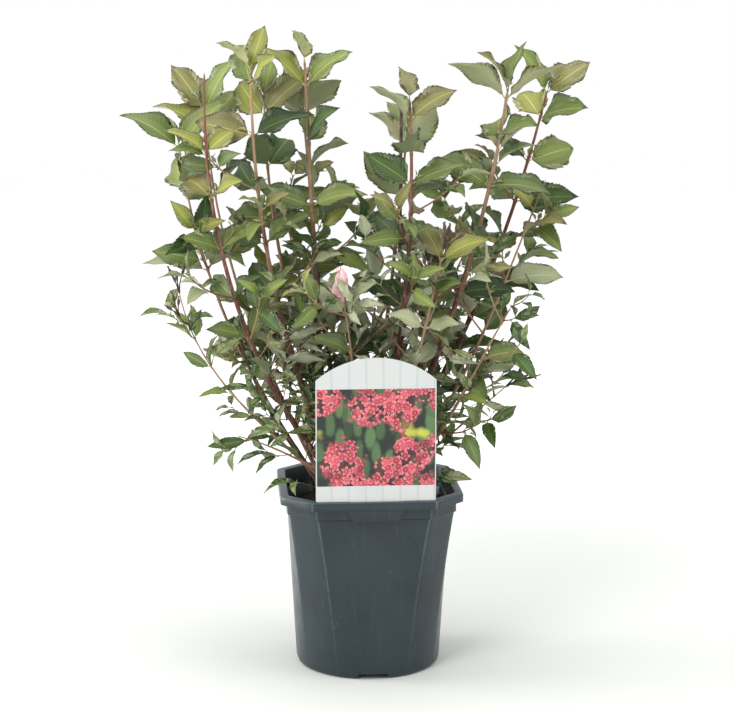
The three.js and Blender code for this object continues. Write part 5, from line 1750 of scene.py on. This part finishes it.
def make_soil(finishes):
    stock = Stock()
    rows = [(0, FLOOR_TOP + FIT_GAP), (inside_half(8) - 2, FLOOR_TOP + FIT_GAP)]
    rows += [(inside_half(z) - FIT_GAP, z) for z in SOIL_ROWS]
    edge = inside_half(SOIL_TOP) - FIT_GAP
    rows += [(edge * share, soil_height(edge * share)) for share in np.linspace(1, 0, SOIL_RINGS)]
    lathe(stock, rows)
    soil = set_in_scene("soil_filling", stock.mesh("soil_filling"))
    run_tree(soil, lump_tree(), Height=0.0028, Grain=60.0, Level=SOIL_SKIN * MM, Finish=finishes["soil"])
    soil = as_plain_mesh(soil)
    for kind, (density, least, most) in CRUMBS.items():
        bits = set_in_scene(f"soil_{kind}s", soil.data.copy())
        shape = CRUMB_SHAPES[kind]()
        run_tree(bits, strewing_tree(), Shape=shape, Density=float(density), Least=least, Most=most,
                 Level=SOIL_SKIN * MM, Finish=finishes[kind])
        bits = as_plain_mesh(bits)
        bpy.data.objects.remove(shape)
        finish_piece(bits)
    finish_piece(soil, ["soil"])


def lump_tree():
    """Lifts and dents the soil's top."""
    board = GeometryBoard("lumpy_top", Height="number", Grain="number", Level="number", Finish="material")
    at = board.add("GeometryNodeInputPosition")
    height = board.split(at).other("Z")
    inner = board.smooth(board.from_axis(at), *SOIL_CALM, 1, 0)
    on_top = (height > board.given("Level")) * inner
    grain = board.noise(at, board.given("Grain"), 4.0, 0.5)
    lift = (grain - 0.5) * board.given("Height") * on_top
    offset = board.add("ShaderNodeCombineXYZ", {}, {"Z": lift})
    return board.close(board.moved(board.given("Geometry"), offset), board.given("Finish"))


def strewing_tree():
    """Strews a shape over a top face, turned and sized at random."""
    board = GeometryBoard("strewn_bits", Shape="thing", Density="number", Least="number", Most="number",
                          Level="number", Finish="material")
    at = board.add("GeometryNodeInputPosition")
    height = board.split(at).other("Z")
    where = (height > board.given("Level")) * (board.from_axis(at) < STREWN_WITHIN)
    strewn = board.add("GeometryNodeDistributePointsOnFaces", {"distribute_method": "RANDOM"},
                       {"Mesh": board.given("Geometry"), "Density": board.given("Density") * where,
                        "Seed": 5})
    turn = board.add("FunctionNodeRandomValue", {"data_type": "FLOAT_VECTOR"},
                     {"Min": (-0.5, -0.5, 0.0), "Max": (0.5, 0.5, 6.28), "Seed": 3})
    size = board.random(board.given("Least"), board.given("Most"), 7)
    shape = board.add("GeometryNodeObjectInfo", {}, {"Object": board.given("Shape")}).other("Geometry")
    placed = board.add("GeometryNodeInstanceOnPoints", {},
                       {"Points": strewn, "Instance": shape, "Rotation": turn, "Scale": size})
    return board.close(placed, board.given("Finish"))


def rough_ball(name, size, squash, seed):
    """A small knobbly lump of a few dozen faces."""
    mesh = bpy.data.meshes.new(name)
    shape = bmesh.new()
    bmesh.ops.create_icosphere(shape, subdivisions=1, radius=size * MM)
    for i, corner in enumerate(shape.verts):
        corner.co *= spread(0.7, 1.25, i, seed)
        corner.co.z *= squash
    shape.to_mesh(mesh)
    shape.free()
    return set_in_scene(name, mesh)


CHIP_OUTLINE = ((-1, -0.8), (-0.3, -1), (0.9, -0.6), (1, 0.5), (0.2, 1), (-0.9, 0.7))


def slab(name, length, width, thick, seed):
    """A flat chip with uneven ends."""
    points = []
    for side in (-1, 1):
        for i, (x, y) in enumerate(CHIP_OUTLINE):
            uneven = near_one(0.2, i, seed)
            points.append((x * length / 2 * uneven, y * width / 2 * uneven, side * thick / 2))
    return solid_of(name, points, [[5, 4, 3, 2, 1, 0], [6, 7, 8, 9, 10, 11]] + ring_quads(0, 6, 6))


CRUMB_SHAPES = dict(
    crumb=lambda: rough_ball("crumb", 1.1, 0.75, 51),
    chip=lambda: slab("chip", 5.5, 2.8, 0.9, 52),
    fibre=lambda: slab("fibre", 9.0, 0.5, 0.4, 53),
)


# ---------- label ----------
CARD = dict(corner=1.6, edge=0.12)


def card_outline():
    """The card with an arched top, and with the tongue that goes into the rim's slot."""
    half = LABEL["width"] / 2
    x, foot = LABEL["x"], POT_HEIGHT + 0.3
    shoulder = foot + LABEL["side"]
    radius = (half * half + LABEL["rise"] ** 2) / (2 * LABEL["rise"])
    sweep = math.asin(half / radius)
    left, right, top_right, top_left = tongue_outline(0, foot, POT_HEIGHT - TONGUE["depth"])
    outline = [(x - half, foot, CARD["corner"])]
    outline += [(*corner, 0) for corner in (top_left, left, right, top_right)]
    outline.append((x + half, foot, CARD["corner"]))
    for angle in np.linspace(sweep, -sweep, 41):
        rise = LABEL["rise"] - radius + radius * math.cos(angle)
        outline.append((x + radius * math.sin(angle), shoulder + rise, 0))
    return rounded(outline, 6)


def make_label(finishes):
    half = LABEL["thick"] / 2
    label = outline_block("label_card", card_outline(), LABEL["y"] - half, LABEL["y"] + half)
    label = ease_edges(label, CARD["edge"], 2, limit_method="ANGLE", angle_limit=math.radians(50))
    label.data.materials.append(finishes["card"])
    finish_piece(label, ["plant_label"])


# ---------- bloom ----------
FLOWERS = (dict(lean=0.06, turn=0.0, length=38, belly=6.2), dict(lean=0.4, turn=3.6, length=31, belly=4.8),
           dict(lean=0.55, turn=1.3, length=23, belly=3.6))
PETALS = dict(lobes=5, throat=0.9, folded=0.1, half_thick=0.15)
TRUMPET = dict(late=1.35, drawn=0.86, swell=1.4, lobed=0.2, cut=0.2, cut_from=0.55)
FLOWER_STEPS, FLOWER_RINGS = 40, 12


def add_flower(stock, base, way, flower):
    """A thin closed trumpet, folded, widest past its middle and drawn in to five pointed lobes."""
    steps, rings = FLOWER_STEPS, FLOWER_RINGS
    side = around(way, flower["turn"])
    out = unit(way + side * flower["lean"])
    a, b = around(out, 0), around(out, QUARTER)
    points = []
    for layer in (1, -1):
        for ring in range(rings + 1):
            t = ring / rings
            for step in range(steps):
                angle = 2 * math.pi * step / steps
                lobe = abs(math.cos(PETALS["lobes"] / 2 * angle))
                belly = math.sin(math.pi * t ** TRUMPET["late"] * TRUMPET["drawn"]) ** TRUMPET["swell"]
                belly *= 1 - TRUMPET["lobed"] + TRUMPET["lobed"] * lobe
                radius = PETALS["throat"] + flower["belly"] * belly
                radius *= 1 + PETALS["folded"] * math.sin(3 * angle + ring * 0.5)
                open_share = max(0, t - TRUMPET["cut_from"]) / (1 - TRUMPET["cut_from"])
                rise = flower["length"] * (t - TRUMPET["cut"] * (1 - lobe) * open_share)
                radius += layer * PETALS["half_thick"]
                points.append(base + out * rise + (a * math.cos(angle) + b * math.sin(angle)) * radius)
    inner, last = (rings + 1) * steps, rings * steps
    pairs = [(last, inner + last), (inner, 0)]
    for low in range(0, last, steps):
        pairs += [(low, low + steps), (inner + low + steps, inner + low)]
    stock.add_plain(points, [face for low, high in pairs for face in ring_quads(low, high, steps)])


def make_bloom(canes, finishes):
    stock = Stock()
    for cane in canes:
        if cane.top == "bloom":
            place, way = cane.path.at(cane.path.length - 1)
            for flower in FLOWERS:
                add_flower(stock, place, way, flower)
    piece = set_in_scene("blossom", stock.mesh("blossom"), [finishes["petal"]])
    finish_piece(piece)

# ---------- the plant ----------
FINISHES = dict(
    pot_plastic=finish("slate_plastic", plastic_look, Specular_IOR_Level=0.48),
    soil=finish("moist_peat", soil_look((24, 18, 14), (52, 40, 30), 160), Roughness=0.92),
    crumb=finish("peat_crumbs", soil_look((30, 22, 16), (66, 50, 36), 260), Roughness=0.92),
    chip=finish("bark_chips", soil_look((56, 40, 28), (104, 78, 54), 300), Roughness=0.85),
    fibre=finish("peat_fibres", soil_look((70, 52, 36), (128, 100, 70), 300), Roughness=0.85),
    card=finish("printed_card", card_look, Specular_IOR_Level=0.45),
    bark=finish("crown_bark", bark_look(((92, 62, 44), (104, 74, 52)), ((84, 64, 46), (110, 88, 64)),
                                        (150, 126, 98), 260, 0.0012), Specular_IOR_Level=0.3),
    cane_bark=finish("cane_bark", bark_look(((104, 58, 46), (140, 112, 86)), ((70, 34, 30), (88, 62, 46)),
                                            (158, 134, 108), 420, 0.0006), Specular_IOR_Level=0.35),
    dry_stalk=finish("dry_stalks", dry_look, Roughness=0.8),
    petal=finish("pink_petals", petal_look, Roughness=0.5, Subsurface_Weight=0.2,
                 Subsurface_Radius=(1.0, 0.4, 0.4), Subsurface_Scale=0.002),
)
CANES_GROWN, ROOM = grow_plant()
grow_finer(CANES_GROWN, ROOM)
make_stems(CANES_GROWN, FINISHES)
make_leaves(CANES_GROWN, leaf_finishes())
make_crown(CANES_GROWN, FINISHES)
make_bloom(CANES_GROWN, FINISHES)
make_pot(FINISHES)
make_soil(FINISHES)
make_label(FINISHES)

# ---------- studio ----------
CAMERA = dict(place=(-1.8, -1968.5, 668.5), yaw=4.33, pitch=9.77, lens=93.34, sensor=36)
LIT_POINT = Vector((0, 0, 0.3))
LIGHTS = (  # name, place, size in metres, watts
    ("key_left", (-1.3, -1.7, 1.9), (1.0, 1.0), 48),
    ("fill_right", (1.7, -0.9, 1.2), (1.2, 1.6), 18),
    ("side_left", (-1.8, 0.3, 0.7), (0.8, 1.4), 28),
    ("top", (0.0, 0.2, 2.4), (1.2, 1.2), 26),
)
FLOOR_REACH = 6000


def stand_camera():
    yaw = math.radians(CAMERA["yaw"])
    x, y, z = CAMERA["place"]
    data = bpy.data.cameras.new("studio_camera")
    data.sensor_width = CAMERA["sensor"]
    data.lens = CAMERA["lens"]
    camera = set_in_scene("studio_camera", data)
    camera.location = ((x * math.cos(yaw) + y * math.sin(yaw)) * MM,
                       (-x * math.sin(yaw) + y * math.cos(yaw)) * MM, z * MM)
    camera.rotation_euler = (math.radians(90 - CAMERA["pitch"]), 0, -yaw)
    bpy.context.scene.camera = camera


def hang_light(name, place, size, watts):
    data = bpy.data.lights.new(name, "AREA")
    data.shape = "RECTANGLE"
    data.size, data.size_y = size
    data.energy = watts
    light = set_in_scene(name, data)
    light.location = place
    light.rotation_euler = (LIT_POINT - Vector(place)).to_track_quat("-Z", "Y").to_euler()


def lay_floor():
    corners = [(x * FLOOR_REACH, y * FLOOR_REACH, 0) for x, y in ((-1, -1), (1, -1), (1, 1), (-1, 1))]
    floor = solid_of("studio_floor", corners, [[0, 1, 2, 3]], [finish("studio_floor", floor_look)])
    floor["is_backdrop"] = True


def light_studio():
    world = bpy.data.worlds.new("studio_air")
    bpy.context.scene.world = world
    world.use_nodes = True
    world.node_tree.nodes["Background"].inputs["Color"].default_value = (1.0, 1.0, 1.0, 1.0)
    world.node_tree.nodes["Background"].inputs["Strength"].default_value = 1.0
    for name, place, size, watts in LIGHTS:
        hang_light(name, place, size, watts)
    bpy.context.scene.view_settings.view_transform = "Standard"


stand_camera()
light_studio()
lay_floor()

corners = [[list(corner) for corner in box] for box in (CAD_BOX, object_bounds())]
